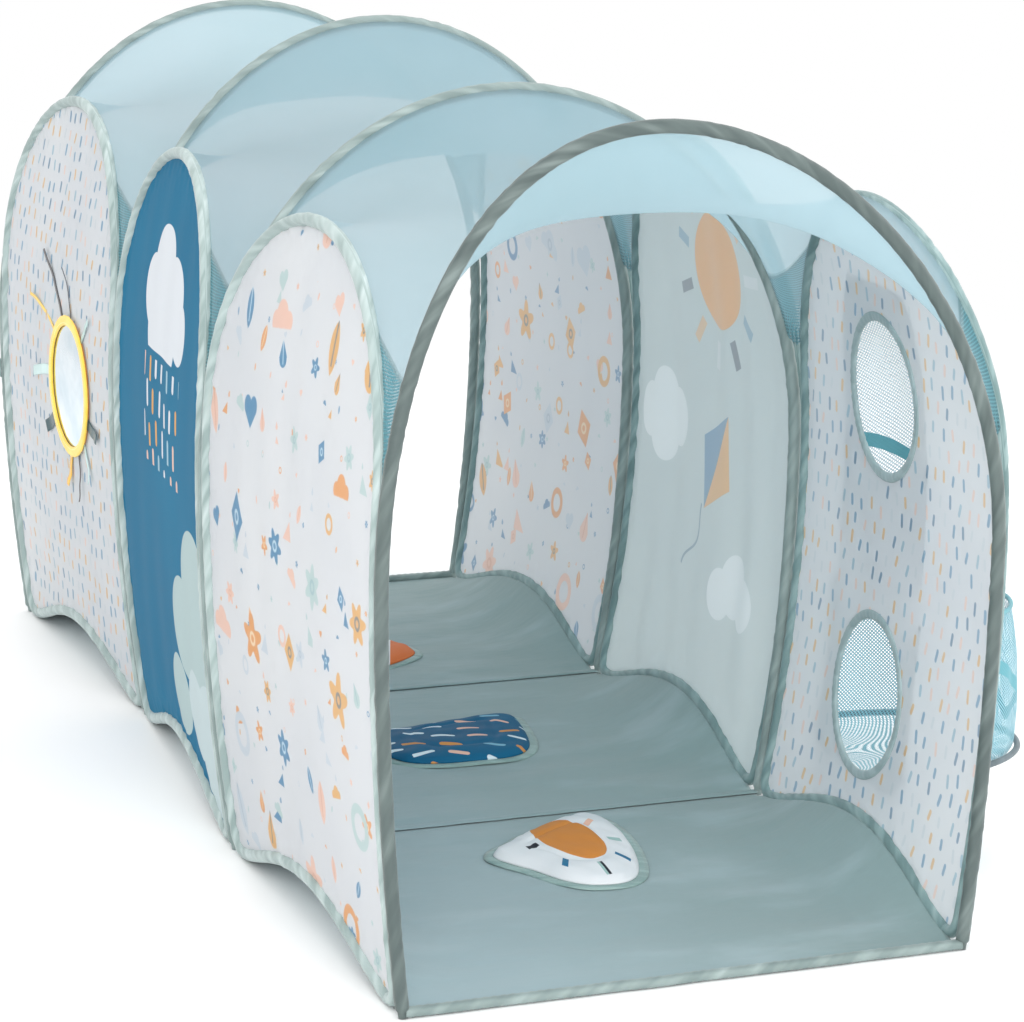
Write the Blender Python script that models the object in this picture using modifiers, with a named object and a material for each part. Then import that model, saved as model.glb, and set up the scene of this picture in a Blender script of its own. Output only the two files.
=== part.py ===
"""Pop-up play tunnel: four sprung hoops, six sprung side panels, cloth roofs and floors, a ball net.

Metres, +Z up. The tunnel runs along Y and its front mouth faces -Y. Left is -X, right is +X.
The origin is on the underside of the middle floor, at the middle of the tunnel.
"""

import math

import bmesh
import bpy
import numpy as np
from mathutils import Matrix, Vector

# Whole tunnel: hoops are numbered 1 to 4 from the front, bays 1 to 3 lie between them
BAY_PITCH = 0.631                                        # from hoop to hoop
HOOP_HEIGHTS = (0.973, 0.947, 0.976, 0.948)
WAIST_HEIGHT = 0.477                                     # where the hoops are widest
WAIST_HALF_WIDTHS = (0.3692, 0.3970, 0.3829, 0.3871)
BASE_HALF_WIDTHS = (0.3423, 0.3583, 0.3436, 0.3527)
HOOP_SIDE_SHIFTS = (-0.0337, -0.0171, 0.0286, 0.0229)    # the sprung tunnel stands a little crooked
HOOP_TOP_LEANS = (-0.055, -0.007, 0.0, -0.004)           # and its arches lean to one side

# Sleeves, wires and cloth
SLEEVE_RADIUS = 0.008
SLEEVE_BORE_RADIUS = 0.0050                              # a panel sleeve's, round wire and ferrule
HOOP_BORE_RADIUS = 0.0026
WIRE_RADIUS = 0.0017
FIT_GAP = 0.0003
CLOTH_THICKNESS = 0.0016
SEAM_GAP = 0.0009                                        # cloth edge to the sleeve it is sewn to
SKIN_GAP = 0.0006                                        # trim lying on a bowed panel
WIRE_FOOT_LIFT = 0.004                                   # a hoop wire's end above the ground

# Side panels
PANEL_SPRING_HEIGHT = 0.570                              # here the panel leaves the hoops
PANEL_TOP_HEIGHT = 0.839
PANEL_TOP_DRAW_IN = 0.0410                               # the top leans in from the hoops' waist
PANEL_BULGES = (0.0, 0.011)                              # how far left and right panels stand out at the waist
PANEL_BOTTOM_RISE = 0.055                                # the bottom edge arches up in mid bay
PANEL_CORNER = 0.026
PANEL_HINGE_DRAW_IN = 0.0145                             # hinge line inside the waist, as the legs bow
FERRULE_RADIUS = 0.0032
FERRULE_BORE_RADIUS = 0.0022
FERRULE_LENGTH = 0.024

# Roofs and floors
ROOF_SPLIT_RISE = 0.030                                  # the roof starts this far above the panels' spring
FLOOR_THICKNESS = 0.0020
FLOOR_FLAT_HALF_WIDTH = 0.235
HEM_HEIGHT = 0.011
HEM_DEPTH = 0.014
SEAM_TAPE_WIDTH = 0.014
SEAM_TAPE_THICKNESS = 0.0026
SEAM_BREAK = 0.0004                                      # between neighbouring floors

# Ball windows in the first right panel, with the chute and the basket behind them
WINDOW_RADIUS = 0.098
WINDOW_BEHIND = 0.040                                    # of mid bay
WINDOW_Y = WINDOW_BEHIND - BAY_PITCH
UPPER_WINDOW_HEIGHT = 0.5815
LOWER_WINDOW_HEIGHT = 0.207
BINDING_WIDTH = 0.012
BINDING_THICKNESS = 0.006
BINDING_SLOT_GAP = 0.0009
BINDING_LAP = 0.007                                      # how far the cloth goes into the binding
NET_THICKNESS = 0.0014
CHUTE_HALF_WIDTH = 0.124
CHUTE_TOP = 0.722
CHUTE_BOTTOM = 0.372
CHUTE_DEPTH = 0.112
BASKET_HALF_WIDTH = 0.136
BASKET_TOP = 0.318
BASKET_BOTTOM = 0.102
BASKET_DEPTH = 0.200
BASKET_TRIM_RADIUS = 0.003
RIM_HEIGHT = 0.140                                       # the wire rim round the net's widest level
RIM_SLEEVE_RADIUS = 0.0040
RIM_SLEEVE_BORE_RADIUS = 0.0024
RIM_END_GAP = 0.008                                      # lets the rim turn up at the panel

# Sun mirror on the third left panel
MIRROR_RADIUS = 0.088
MIRROR_THICKNESS = 0.0020
MIRROR_AHEAD = 0.074                                     # of mid bay
MIRROR_Y = BAY_PITCH - MIRROR_AHEAD
MIRROR_HEIGHT = 0.430
MIRROR_RING_RADIUS = 0.103
MIRROR_RING_THICKNESS = 0.0045
BACKING_RADIUS = 0.100
BACKING_THICKNESS = 0.0014

# Lift-up flaps, each on a patch sewn to the floor
PATCH_THICKNESS = 0.0018
PATCH_BORDER = 0.012                                     # how far a patch shows round its flap
FLAP_EDGE_THICKNESS = 0.0040
FLAP_MIDDLES = ((0.004, -0.482), (0.042, 0.026), (0.045, 0.505))
FLAP_HALF_SIZES = ((0.092, 0.130), (0.116, 0.104), (0.104, 0.100))    # across and along the tunnel
FLAP_CROWNS = (0.018, 0.015, 0.015)

# Tape tab on the rear hoop
TAB_SIZE = 0.030
TAB_HEIGHT = 0.390

# Shares of the size that each shape follows
CROWN_SHARES = (0.96, 0.84, 0.62, 0.32)
DISC_SHARES = (0.5, 1)
FLAP_LOBE_SHARES = ((3, 0.05), (4, 0.07), (5, 0.05))         # lobes, then how far they swell
CHUTE_SHARES = (                                         # down, out and across
    (0, 0.04, 0.72), (0.06, 0.36, 0.82), (0.13, 0.58, 0.91), (0.22, 0.78, 0.97), (0.34, 0.9, 1),
    (0.46, 0.96, 1), (0.59, 0.99, 1), (0.73, 1, 1), (0.87, 1, 1), (1, 1, 1),
)
BASKET_SHARES = ((0, 0.86, 0.94), (0.35, 0.94, 0.96), (0.7, 0.985, 0.985), (1, 1, 1))
BASKET_BOTTOM_SHARES = ((0.4, 0.94, 0.95), (0.8, 0.72, 0.84), (1, 0.34, 0.68))
ROOF_ACROSS_SHARE = 0.72                                 # of a roof's pull, what runs across the tunnel
RIBBON_SHARES = (                                        # degrees, then length and width by the mirror's radius
    (3, 1.05, 0.18), (40, 1.45, 0.07), (66, 1.40, 0.08), (93, 0.75, 0.04), (130, 0.62, 0.08),
    (204, 0.60, 0.20), (230, 0.62, 0.09), (252, 0.75, 0.05), (276, 0.62, 0.13), (326, 0.62, 0.22),
)

HOOPS = (1, 2, 3, 4)
BAYS = (1, 2, 3)
HINGE_HOOPS = (2, 2, 3)                                  # the hoop that each bay's panels turn on
SIDES = {"left": -1, "right": 1}
LEG_STEPS = 4
ARCH_STEPS = 12
PANEL_ARCH_STEPS = 8
PANEL_EDGE_STEPS = 5
TRIMMED_EDGE_STEPS = 8                                   # finer where windows or a mirror are sewn on
TRIMMED_PANELS = ((1, "right"), (3, "left"))
PANEL_BOTTOM_STEPS = 6
CORNER_STEPS = 3
SLEEVE_SIDES = 8
RIM_SIDES = 6
RING_STEPS = 24
NET_STEPS = 12
RIBBON_STEPS = 2

SAGE = (0.29, 0.38, 0.38, 1)
SKY = (0.53, 0.69, 0.74, 1)
FLOOR_GREEN = (0.27, 0.39, 0.41, 1)
WHITE = (0.78, 0.78, 0.80, 1)
DEEP_BLUE = (0.02, 0.20, 0.36, 1)
PALE_BLUE = (0.52, 0.62, 0.66, 1)
STEEL = (0.55, 0.56, 0.58, 1)
ORANGE = (0.55, 0.19, 0.04, 1)
YELLOW = (0.88, 0.55, 0.07, 1)
DARK = (0.08, 0.10, 0.12, 1)
NET_WHITE = (0.72, 0.80, 0.82, 1)
NET_TEAL = (0.15, 0.42, 0.47, 1)
PANEL_COLORS = {"left": (WHITE, DEEP_BLUE, WHITE), "right": (WHITE, PALE_BLUE, WHITE)}
FLAP_COLORS = (WHITE, DEEP_BLUE, ORANGE)

HOOP_TO_PANEL = 2 * (SLEEVE_RADIUS + FIT_GAP)
ROOF_SPLIT_HEIGHT = PANEL_SPRING_HEIGHT + ROOF_SPLIT_RISE
PANEL_HALF_LENGTH = BAY_PITCH / 2 - HOOP_TO_PANEL
PANEL_BOTTOM_HEIGHT = SLEEVE_RADIUS + FIT_GAP
CLOTH_INSET = SLEEVE_BORE_RADIUS + FIT_GAP
TRIM_OFF = CLOTH_THICKNESS / 2 + SKIN_GAP                # from a panel's middle surface to what lies on it


def clear_scene():
    for old in list(bpy.data.objects):
        bpy.data.objects.remove(old, do_unlink=True)


def collection(name):
    made = bpy.data.collections.new(name)
    bpy.context.scene.collection.children.link(made)
    return made


def material(name, color, roughness=0.85, metallic=0.0):
    made = bpy.data.materials.new(name)
    made.use_nodes = True
    shader = made.node_tree.nodes["Principled BSDF"]
    shader.inputs["Base Color"].default_value = color
    shader.inputs["Roughness"].default_value = roughness
    shader.inputs["Metallic"].default_value = metallic
    return made


def add_object(name, data, color, roughness=0.85, metallic=0.0, pivot=None):
    """A part in its own colour; a piece that turns gets its origin on its pivot."""
    made = bpy.data.objects.new(name, data)
    PARTS.objects.link(made)
    made.data.materials.append(material(name, color, roughness, metallic))
    if pivot is not None:
        made.data.transform(Matrix.Translation(-Vector(pivot)))
        made.location = pivot
    return made


def grid_mesh(name, rows, loop_rows=False, loop_points=False, caps=False):
    """Quads through rows of points: loop_rows joins last row to first, loop_points joins row ends."""
    rows = np.array(rows, float)
    row_count, point_count = rows.shape[:2]
    faces = []
    for row in range(row_count if loop_rows else row_count - 1):
        after = (row + 1) % row_count
        for point in range(point_count if loop_points else point_count - 1):
            beside = (point + 1) % point_count
            faces.append((row * point_count + point, row * point_count + beside,
                          after * point_count + beside, after * point_count + point))
    if caps:
        faces.append(tuple(reversed(range(point_count))))
        faces.append(tuple((row_count - 1) * point_count + point for point in range(point_count)))
    mesh = bpy.data.meshes.new(name)
    mesh.from_pydata([tuple(point) for point in rows.reshape(-1, 3)], [], faces)
    work = bmesh.new()
    work.from_mesh(mesh)
    bmesh.ops.remove_doubles(work, verts=work.verts, dist=FIT_GAP / 10)
    bmesh.ops.dissolve_degenerate(work, edges=work.edges, dist=FIT_GAP / 10)
    bmesh.ops.recalc_face_normals(work, faces=work.faces)
    work.to_mesh(mesh)
    work.free()
    mesh.shade_smooth()
    mesh.set_sharp_from_angle(angle=math.radians(35))
    return mesh


def face_towards(mesh, point):
    """Turns an open surface's faces so that most look towards the point."""
    facing = 0.0
    for face in mesh.polygons:
        facing += face.area * (Vector(point) - face.center).dot(face.normal)
    if facing < 0:
        mesh.flip_normals()


def solidify(made, thickness, offset):
    thick = made.modifiers.new("Thickness", "SOLIDIFY")
    thick.thickness = thickness
    thick.offset = offset
    thick.use_even_offset = True


def unit(vector):
    return np.array(vector, float) / np.linalg.norm(vector)


def ring_section(radius, sides):
    """A round section as (out, across) pairs."""
    turns = [2 * math.pi * step / sides for step in range(sides)]
    return [(radius * math.cos(turn), radius * math.sin(turn)) for turn in turns]


def placed(place, frame, outline):
    return [place + frame[0] * out + frame[1] * across for out, across in outline]


def wire(name, points, radius, color, loop=False, metallic=1.0, pivot=None):
    """A round wire through the points."""
    curve = bpy.data.curves.new(name, "CURVE")
    curve.dimensions = "3D"
    curve.bevel_depth = radius
    curve.bevel_resolution = 0
    curve.use_fill_caps = not loop
    spline = curve.splines.new("POLY")
    spline.points.add(len(points) - 1)
    for place, point in zip(spline.points, points):
        place.co = (*point, 1)
    spline.use_cyclic_u = loop
    return add_object(name, curve, color, 0.35, metallic, pivot)


def open_tube(name, path, frames, radius, bore, sides, color, pivot=None):
    """A round sleeve with open ends, its bore as wide all along."""
    outer = [placed(place, frame, ring_section(radius, sides)) for place, frame in zip(path, frames)]
    inner = [placed(place, frame, ring_section(bore, sides)) for place, frame in zip(path, frames)]
    mesh = grid_mesh(name, outer + inner[::-1], loop_rows=True, loop_points=True)
    return add_object(name, mesh, color, pivot=pivot)


# Hoops

def hoop_y(hoop):
    return (hoop - 1 - len(BAYS) / 2) * BAY_PITCH


def leg_half_width(hoop, height):
    waist, base = WAIST_HALF_WIDTHS[hoop - 1], BASE_HALF_WIDTHS[hoop - 1]
    return waist - (waist - base) * ((WAIST_HEIGHT - height) / WAIST_HEIGHT) ** 2


def arch_rise(hoop):
    return HOOP_HEIGHTS[hoop - 1] - SLEEVE_RADIUS - WAIST_HEIGHT


def arch_turns(hoop):
    start = math.asin((ROOF_SPLIT_HEIGHT - WAIST_HEIGHT) / arch_rise(hoop))
    return np.linspace(start, math.pi - start, ARCH_STEPS + 1)


def arch_point(hoop, turn):
    """A half oval over the waist, whose top leans to one side."""
    lean = HOOP_TOP_LEANS[hoop - 1] * math.sin(turn) ** 2
    x = -WAIST_HALF_WIDTHS[hoop - 1] * math.cos(turn) + HOOP_SIDE_SHIFTS[hoop - 1] + lean
    return np.array([x, hoop_y(hoop), WAIST_HEIGHT + arch_rise(hoop) * math.sin(turn)])


def leg_points(hoop, side, bottom):
    heights = [bottom] + list(np.linspace(0, WAIST_HEIGHT, LEG_STEPS + 1))[1:]
    shift = HOOP_SIDE_SHIFTS[hoop - 1]
    return [np.array([side * leg_half_width(hoop, height) + shift, hoop_y(hoop), height]) for height in heights]


def hoop_path(hoop, bottom):
    """From the left foot up over the top to the right foot."""
    over = [arch_point(hoop, turn) for turn in arch_turns(hoop)]
    return leg_points(hoop, -1, bottom) + over + leg_points(hoop, 1, bottom)[::-1]


def path_frames(path, across):
    """Sideways and across directions at each point of a path."""
    frames = []
    for index in range(len(path)):
        ahead = path[min(index + 1, len(path) - 1)]
        behind = path[max(index - 1, 0)]
        frames.append((unit(np.cross(ahead - behind, across)), across))
    return frames


def make_hoop(hoop):
    path = hoop_path(hoop, 0)
    along = np.array([0.0, 1.0, 0.0])
    frames = path_frames(path, along)
    frames[0] = (np.array([-1.0, 0.0, 0.0]), along)
    frames[-1] = (np.array([1.0, 0.0, 0.0]), along)
    open_tube(f"hoop_sleeve_{hoop}", path, frames, SLEEVE_RADIUS, HOOP_BORE_RADIUS, SLEEVE_SIDES, SAGE)
    wire(f"hoop_wire_{hoop}", hoop_path(hoop, WIRE_FOOT_LIFT), WIRE_RADIUS, STEEL)


# Side panels

def bay_middle(bay):
    return (hoop_y(bay) + hoop_y(bay + 1)) / 2


def between_hoops(values, bay, y):
    share = (y - hoop_y(bay)) / BAY_PITCH
    return values[bay - 1] * (1 - share) + values[bay] * share


def panel_bulge(side):
    return PANEL_BULGES[(side + 1) // 2]


def panel_half_width(bay, side, y, height):
    """How far a bowed side panel stands from the tunnel's middle line."""
    waist = between_hoops(WAIST_HALF_WIDTHS, bay, y) + panel_bulge(side)
    base = between_hoops(BASE_HALF_WIDTHS, bay, y)
    if height < WAIST_HEIGHT:
        return waist - (waist - base) * ((WAIST_HEIGHT - height) / WAIST_HEIGHT) ** 2
    draw_in = PANEL_TOP_DRAW_IN + panel_bulge(side)
    return waist - draw_in * ((height - WAIST_HEIGHT) / (PANEL_TOP_HEIGHT - WAIST_HEIGHT)) ** 2


def panel_point(bay, side, y, height, off=0.0):
    """A point on the panel's middle surface, moved outwards by off."""
    x = side * (panel_half_width(bay, side, y, height) + off) + between_hoops(HOOP_SIDE_SHIFTS, bay, y)
    return np.array([x, y, height])


def panel_pivot(bay, side):
    """Foot of the upright line that the panel turns on, between its sleeve and the hoop's."""
    hoop = HINGE_HOOPS[bay - 1]
    off = HOOP_TO_PANEL / 2 if bay_middle(bay) > hoop_y(hoop) else -HOOP_TO_PANEL / 2
    reach = WAIST_HALF_WIDTHS[hoop - 1] - PANEL_HINGE_DRAW_IN
    return (side * reach + HOOP_SIDE_SHIFTS[hoop - 1], hoop_y(hoop) + off, 0)


def bottom_edge(along):
    """Height of a panel's bottom run, which is level where its corners start."""
    share = min(1.0, abs(along) / (PANEL_HALF_LENGTH - PANEL_CORNER))
    return PANEL_BOTTOM_HEIGHT + PANEL_BOTTOM_RISE * (1 - share ** 2) ** 1.5


def panel_outline(edge_steps):
    """The wire's outline in runs of (along, height), anticlockwise from the bottom's front end."""
    half = PANEL_HALF_LENGTH
    lengths = np.linspace(PANEL_CORNER - half, half - PANEL_CORNER, PANEL_BOTTOM_STEPS + 1)
    low = [(along, bottom_edge(along)) for along in lengths]
    start, turn, end = low[-1], (half, PANEL_BOTTOM_HEIGHT), (half, PANEL_BOTTOM_HEIGHT + PANEL_CORNER)
    corner = []
    for share in np.linspace(0, 1, CORNER_STEPS + 1)[1:-1]:
        corner.append(tuple((1 - share) ** 2 * s + 2 * share * (1 - share) * t + share ** 2 * e
                            for s, t, e in zip(start, turn, end)))
    heights = np.linspace(PANEL_BOTTOM_HEIGHT + PANEL_CORNER, PANEL_SPRING_HEIGHT, edge_steps + 1)
    edge = [(half, height) for height in heights]
    rise = PANEL_TOP_HEIGHT - SLEEVE_RADIUS - PANEL_SPRING_HEIGHT
    first = math.asin((ROOF_SPLIT_HEIGHT - PANEL_SPRING_HEIGHT) / rise)
    turns = np.linspace(first, math.pi - first, PANEL_ARCH_STEPS + 1)
    arch = [(half * math.cos(turn), PANEL_SPRING_HEIGHT + rise * math.sin(turn)) for turn in turns]
    return low, corner + edge, arch, [(-along, height) for along, height in (corner + edge)[::-1]]


def outline_normals(points):
    """Outward directions of a closed outline that runs anticlockwise."""
    normals = []
    for index in range(len(points)):
        ahead, behind = points[(index + 1) % len(points)], points[index - 1]
        normals.append(unit((ahead[1] - behind[1], behind[0] - ahead[0])))
    return normals


def panel_frame(bay, side, y, height, normal):
    """Directions on the bowed panel: outwards in its surface, and square to it."""
    here = panel_point(bay, side, y, height)
    lengthwise = unit(panel_point(bay, side, y + FIT_GAP, height) - here)
    upwards = unit(panel_point(bay, side, y, height + FIT_GAP) - here)
    return unit(lengthwise * normal[0] + upwards * normal[1]), unit(np.cross(lengthwise, upwards))


def panel_rows(edge_steps):
    """Rows of (along, height) points that fill the outline, a little inside the wire."""
    low, rising, arch, falling = panel_outline(edge_steps)
    points = low + rising + arch + falling
    inside = [(p[0] - CLOTH_INSET * n[0], p[1] - CLOTH_INSET * n[1])
              for p, n in zip(points, outline_normals(points))]
    low_in = inside[:len(low)]
    up_right = inside[len(low):]
    up_left = up_right[::-1]
    apex = len(rising) + PANEL_ARCH_STEPS // 2
    level_height = up_right[CORNER_STEPS + edge_steps // 2 - 1][1]
    rows = [low_in]
    for right, left in zip(up_right[:apex + 1], up_left):
        fade = max(0.0, 1 - (right[1] - low_in[0][1]) / (level_height - low_in[0][1]))
        row = []
        for share, low_point in zip(np.linspace(0, 1, len(low)), low_in):
            along = left[0] + (right[0] - left[0]) * share
            row.append((along, right[1] + fade * (low_point[1] - low_in[0][1])))
        rows.append(row)
    return rows


def slotted_section():
    """A folded sleeve with a bore, open on its inner side where the cloth goes in."""
    radius, bore = SLEEVE_RADIUS, SLEEVE_BORE_RADIUS
    half_slot = CLOTH_THICKNESS / 2 + FIT_GAP
    side = radius * math.sin(math.radians(60))
    outer = [(-radius, half_slot), (-radius / 2, side), (radius / 2, side), (radius, 0),
             (radius / 2, -side), (-radius / 2, -side), (-radius, -half_slot)]
    inner = [(half_slot - bore, -half_slot), (0, -bore), (bore, 0), (0, bore), (half_slot - bore, half_slot)]
    return outer + inner


def make_panel(bay, side_name):
    side, tag, pivot = SIDES[side_name], f"{side_name}_{bay}", panel_pivot(bay, SIDES[side_name])
    middle = bay_middle(bay)
    edge_steps = TRIMMED_EDGE_STEPS if (bay, side_name) in TRIMMED_PANELS else PANEL_EDGE_STEPS
    outline = [point for run in panel_outline(edge_steps) for point in run]
    normals = outline_normals(outline)
    path = [panel_point(bay, side, middle + along, height) for along, height in outline]
    frames = [panel_frame(bay, side, middle + along, height, normal)
              for (along, height), normal in zip(outline, normals)]
    section = slotted_section()
    rows = [placed(place, frame, section) for place, frame in zip(path, frames)]
    mesh = grid_mesh(f"panel_sleeve_{tag}", rows, loop_rows=True, loop_points=True)
    add_object(f"panel_sleeve_{tag}", mesh, SAGE, pivot=pivot)
    wire(f"panel_wire_{tag}", path, WIRE_RADIUS, STEEL, loop=True, pivot=pivot)
    rows = [[panel_point(bay, side, middle + along, height) for along, height in row]
            for row in panel_rows(edge_steps)]
    mesh = grid_mesh(f"panel_cloth_{tag}", rows)
    face_towards(mesh, (2 * side * BAY_PITCH, middle, WAIST_HEIGHT))
    cloth = add_object(f"panel_cloth_{tag}", mesh, PANEL_COLORS[side_name][bay - 1], pivot=pivot)
    solidify(cloth, CLOTH_THICKNESS, 0)
    start, end = path[PANEL_BOTTOM_STEPS // 2], path[PANEL_BOTTOM_STEPS // 2 + 1]
    make_ferrule(f"wire_ferrule_{tag}", (start + end) / 2, unit(end - start), pivot)
    return cloth


def make_ferrule(name, middle, direction, pivot):
    """The crimped tube that joins a panel wire's ends, on the bottom run."""
    upright = unit(np.cross(direction, (1.0, 0.0, 0.0)))
    frame = (upright, np.cross(direction, upright))
    ends = [middle + direction * reach for reach in (-FERRULE_LENGTH / 2, FERRULE_LENGTH / 2)]
    ferrule = open_tube(name, ends, (frame, frame), FERRULE_RADIUS, FERRULE_BORE_RADIUS, SLEEVE_SIDES, STEEL, pivot)
    ferrule.active_material.node_tree.nodes["Principled BSDF"].inputs["Metallic"].default_value = 1


# Roofs and floors

def roof_edges(bay):
    """Front, rear, left and right edges of a roof, each beside the sleeve it is sewn to."""
    reach = np.array([0.0, SLEEVE_RADIUS + SEAM_GAP, 0.0])
    front = [arch_point(bay, turn) + reach for turn in arch_turns(bay)]
    rear = [arch_point(bay + 1, turn) - reach for turn in arch_turns(bay + 1)]
    low, rising, arch, falling = panel_outline(PANEL_EDGE_STEPS)
    points = low + rising + arch + falling
    normals = outline_normals(points)[len(low + rising):]
    sides = []
    for side in (-1, 1):
        run = []
        for (along, height), normal in zip(arch, normals):
            y = bay_middle(bay) + along
            out = panel_frame(bay, side, y, height, normal)[0]
            run.append(panel_point(bay, side, y, height) + out * (SLEEVE_RADIUS + SEAM_GAP))
        sides.append(run[::-1])
    return front, rear, sides[0], sides[1]


def taut_sheet(front, rear, left, right):
    """A taut sheet between four edges: every inner point settles among its neighbours."""
    shares = np.linspace(0, 1, len(left))[:, None, None]
    sheet = np.array(front)[None] * (1 - shares) + np.array(rear)[None] * shares
    sheet[1:-1, 0] = left[1:-1]
    sheet[1:-1, -1] = right[1:-1]
    for row, edge in ((0, front), (-1, rear)):
        sheet[row, 0] = (edge[0] + left[row]) / 2
        sheet[row, -1] = (edge[-1] + right[row]) / 2
    for _ in range(600):
        along, across = sheet[:-2, 1:-1] + sheet[2:, 1:-1], sheet[1:-1, :-2] + sheet[1:-1, 2:]
        sheet[1:-1, 1:-1] = (along + (across - along) * ROOF_ACROSS_SHARE) / 2
    return sheet


def make_roof(bay):
    mesh = grid_mesh(f"roof_{bay}", taut_sheet(*roof_edges(bay)))
    face_towards(mesh, (0, bay_middle(bay), 2 * BAY_PITCH))
    solidify(add_object(f"roof_{bay}", mesh, SKY, 0.7), CLOTH_THICKNESS, 0)


def floor_edge(bay, side, along):
    """The floor's side edge, beside the panel's bottom sleeve; it comes down to the ground at the hoops."""
    arch_end = PANEL_HALF_LENGTH - PANEL_CORNER
    level_start = BAY_PITCH / 2 - SEAM_TAPE_WIDTH
    near = min(abs(along), arch_end)
    fall = min(1.0, (abs(along) - near) / (level_start - arch_end))
    height = bottom_edge(near) * (1 - fall)
    y = bay_middle(bay) + along
    inward = SLEEVE_RADIUS + SEAM_GAP + FLOOR_THICKNESS * (1 - fall)
    x = side * (panel_half_width(bay, side, y, height) - inward) + between_hoops(HOOP_SIDE_SHIFTS, bay, y)
    return np.array([x, y, height])


def make_floor(bay):
    hem_trim, seam_trim = HEM_DEPTH / 2 + FIT_GAP, SEAM_BREAK / 2
    front_trim = hem_trim if bay == BAYS[0] else seam_trim
    rear_trim = hem_trim if bay == BAYS[-1] else seam_trim
    level = BAY_PITCH / 2 - SEAM_TAPE_WIDTH
    low = [along for along, _ in panel_outline(PANEL_EDGE_STEPS)[0]]
    rows = []
    for along in [front_trim - BAY_PITCH / 2, -level] + low + [level, BAY_PITCH / 2 - rear_trim]:
        left, right = floor_edge(bay, -1, along), floor_edge(bay, 1, along)
        shift = between_hoops(HOOP_SIDE_SHIFTS, bay, left[1])
        row = [(shift, left[1], 0)]
        for share in np.linspace(0, 1, 4):
            for edge, flat in ((left, shift - FLOOR_FLAT_HALF_WIDTH), (right, shift + FLOOR_FLAT_HALF_WIDTH)):
                row.append((flat + (edge[0] - flat) * share, edge[1], edge[2] * share ** 2))
        rows.append(sorted(row))
    mesh = grid_mesh(f"floor_{bay}", rows)
    face_towards(mesh, (0, bay_middle(bay), 2 * BAY_PITCH))
    solidify(add_object(f"floor_{bay}", mesh, FLOOR_GREEN), FLOOR_THICKNESS, 1)


def make_strip(name, hoop, low, depth, height):
    """A cloth strip from foot to foot of a hoop, its edges folded over."""
    reach = BASE_HALF_WIDTHS[hoop - 1] - SLEEVE_RADIUS - FIT_GAP
    mesh = bpy.data.meshes.new(name)
    work = bmesh.new()
    bmesh.ops.create_cube(work, size=1)
    bmesh.ops.scale(work, vec=(2 * reach, depth, height), verts=work.verts)
    bmesh.ops.translate(work, vec=(HOOP_SIDE_SHIFTS[hoop - 1], hoop_y(hoop), low + height / 2), verts=work.verts)
    work.to_mesh(mesh)
    work.free()
    fold = add_object(name, mesh, SAGE).modifiers.new("Fold", "BEVEL")
    fold.width = height / 3
    fold.segments = 1


def make_hems_and_tapes():
    make_strip("front_hem", HOOPS[0], 0, HEM_DEPTH, HEM_HEIGHT)
    make_strip("rear_hem", HOOPS[-1], 0, HEM_DEPTH, HEM_HEIGHT)
    for hoop in HOOPS[1:-1]:
        make_strip(f"floor_seam_tape_{hoop}", hoop, FLOOR_THICKNESS + FIT_GAP, SEAM_TAPE_WIDTH, SEAM_TAPE_THICKNESS)


def flap_ring(bay, scale_share, border, height):
    """A flap's lobed outline, scaled about its middle or let out by a border."""
    (x, y), (across, along) = FLAP_MIDDLES[bay - 1], FLAP_HALF_SIZES[bay - 1]
    lobes, lobe_share = FLAP_LOBE_SHARES[bay - 1]
    ring = []
    for step in range(RING_STEPS):
        turn = 2 * math.pi * step / RING_STEPS
        swell = scale_share * (1 + lobe_share * math.cos(lobes * turn))
        out, back = across * swell + border, along * swell + border
        ring.append((x - out * math.sin(turn), y + back * math.cos(turn), height))
    return ring


def make_flap(bay):
    """A stitched patch on the floor, and on it a padded flap held at its rear edge."""
    low = FLOOR_THICKNESS + FIT_GAP
    rings = [flap_ring(bay, 1, PATCH_BORDER, low), flap_ring(bay, 1, PATCH_BORDER, low + PATCH_THICKNESS)]
    add_object(f"floor_patch_{bay}", grid_mesh("patch", rings, loop_points=True, caps=True), SAGE)
    low += PATCH_THICKNESS + FIT_GAP
    rings = [flap_ring(bay, 1, 0, low), flap_ring(bay, 1, 0, low + FLAP_EDGE_THICKNESS)]
    for share in CROWN_SHARES:
        crown = FLAP_EDGE_THICKNESS + (FLAP_CROWNS[bay - 1] - FLAP_EDGE_THICKNESS) * math.sqrt(1 - share ** 3)
        rings.append(flap_ring(bay, share, 0, low + crown))
    mesh = grid_mesh(f"floor_flap_{bay}", rings, loop_points=True, caps=True)
    add_object(f"floor_flap_{bay}", mesh, FLAP_COLORS[bay - 1], pivot=rings[0][0])


# Ball windows, chute and basket

def cut_window(cloth, name, height):
    bpy.ops.mesh.primitive_cylinder_add(vertices=RING_STEPS, radius=WINDOW_RADIUS, depth=BAY_PITCH / 2,
                                        location=(WAIST_HALF_WIDTHS[0], WINDOW_Y, height),
                                        rotation=(0, math.pi / 2, 0))
    cutter = bpy.context.active_object
    cutter.name = name
    for owner in list(cutter.users_collection):
        owner.objects.unlink(cutter)
    CUTTERS.objects.link(cutter)
    cutter.hide_render = True
    cutter.display_type = "WIRE"
    cut = cloth.modifiers.new(name, "BOOLEAN")
    cut.operation = "DIFFERENCE"
    cut.object = cutter
    cut.solver = "EXACT"


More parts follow.
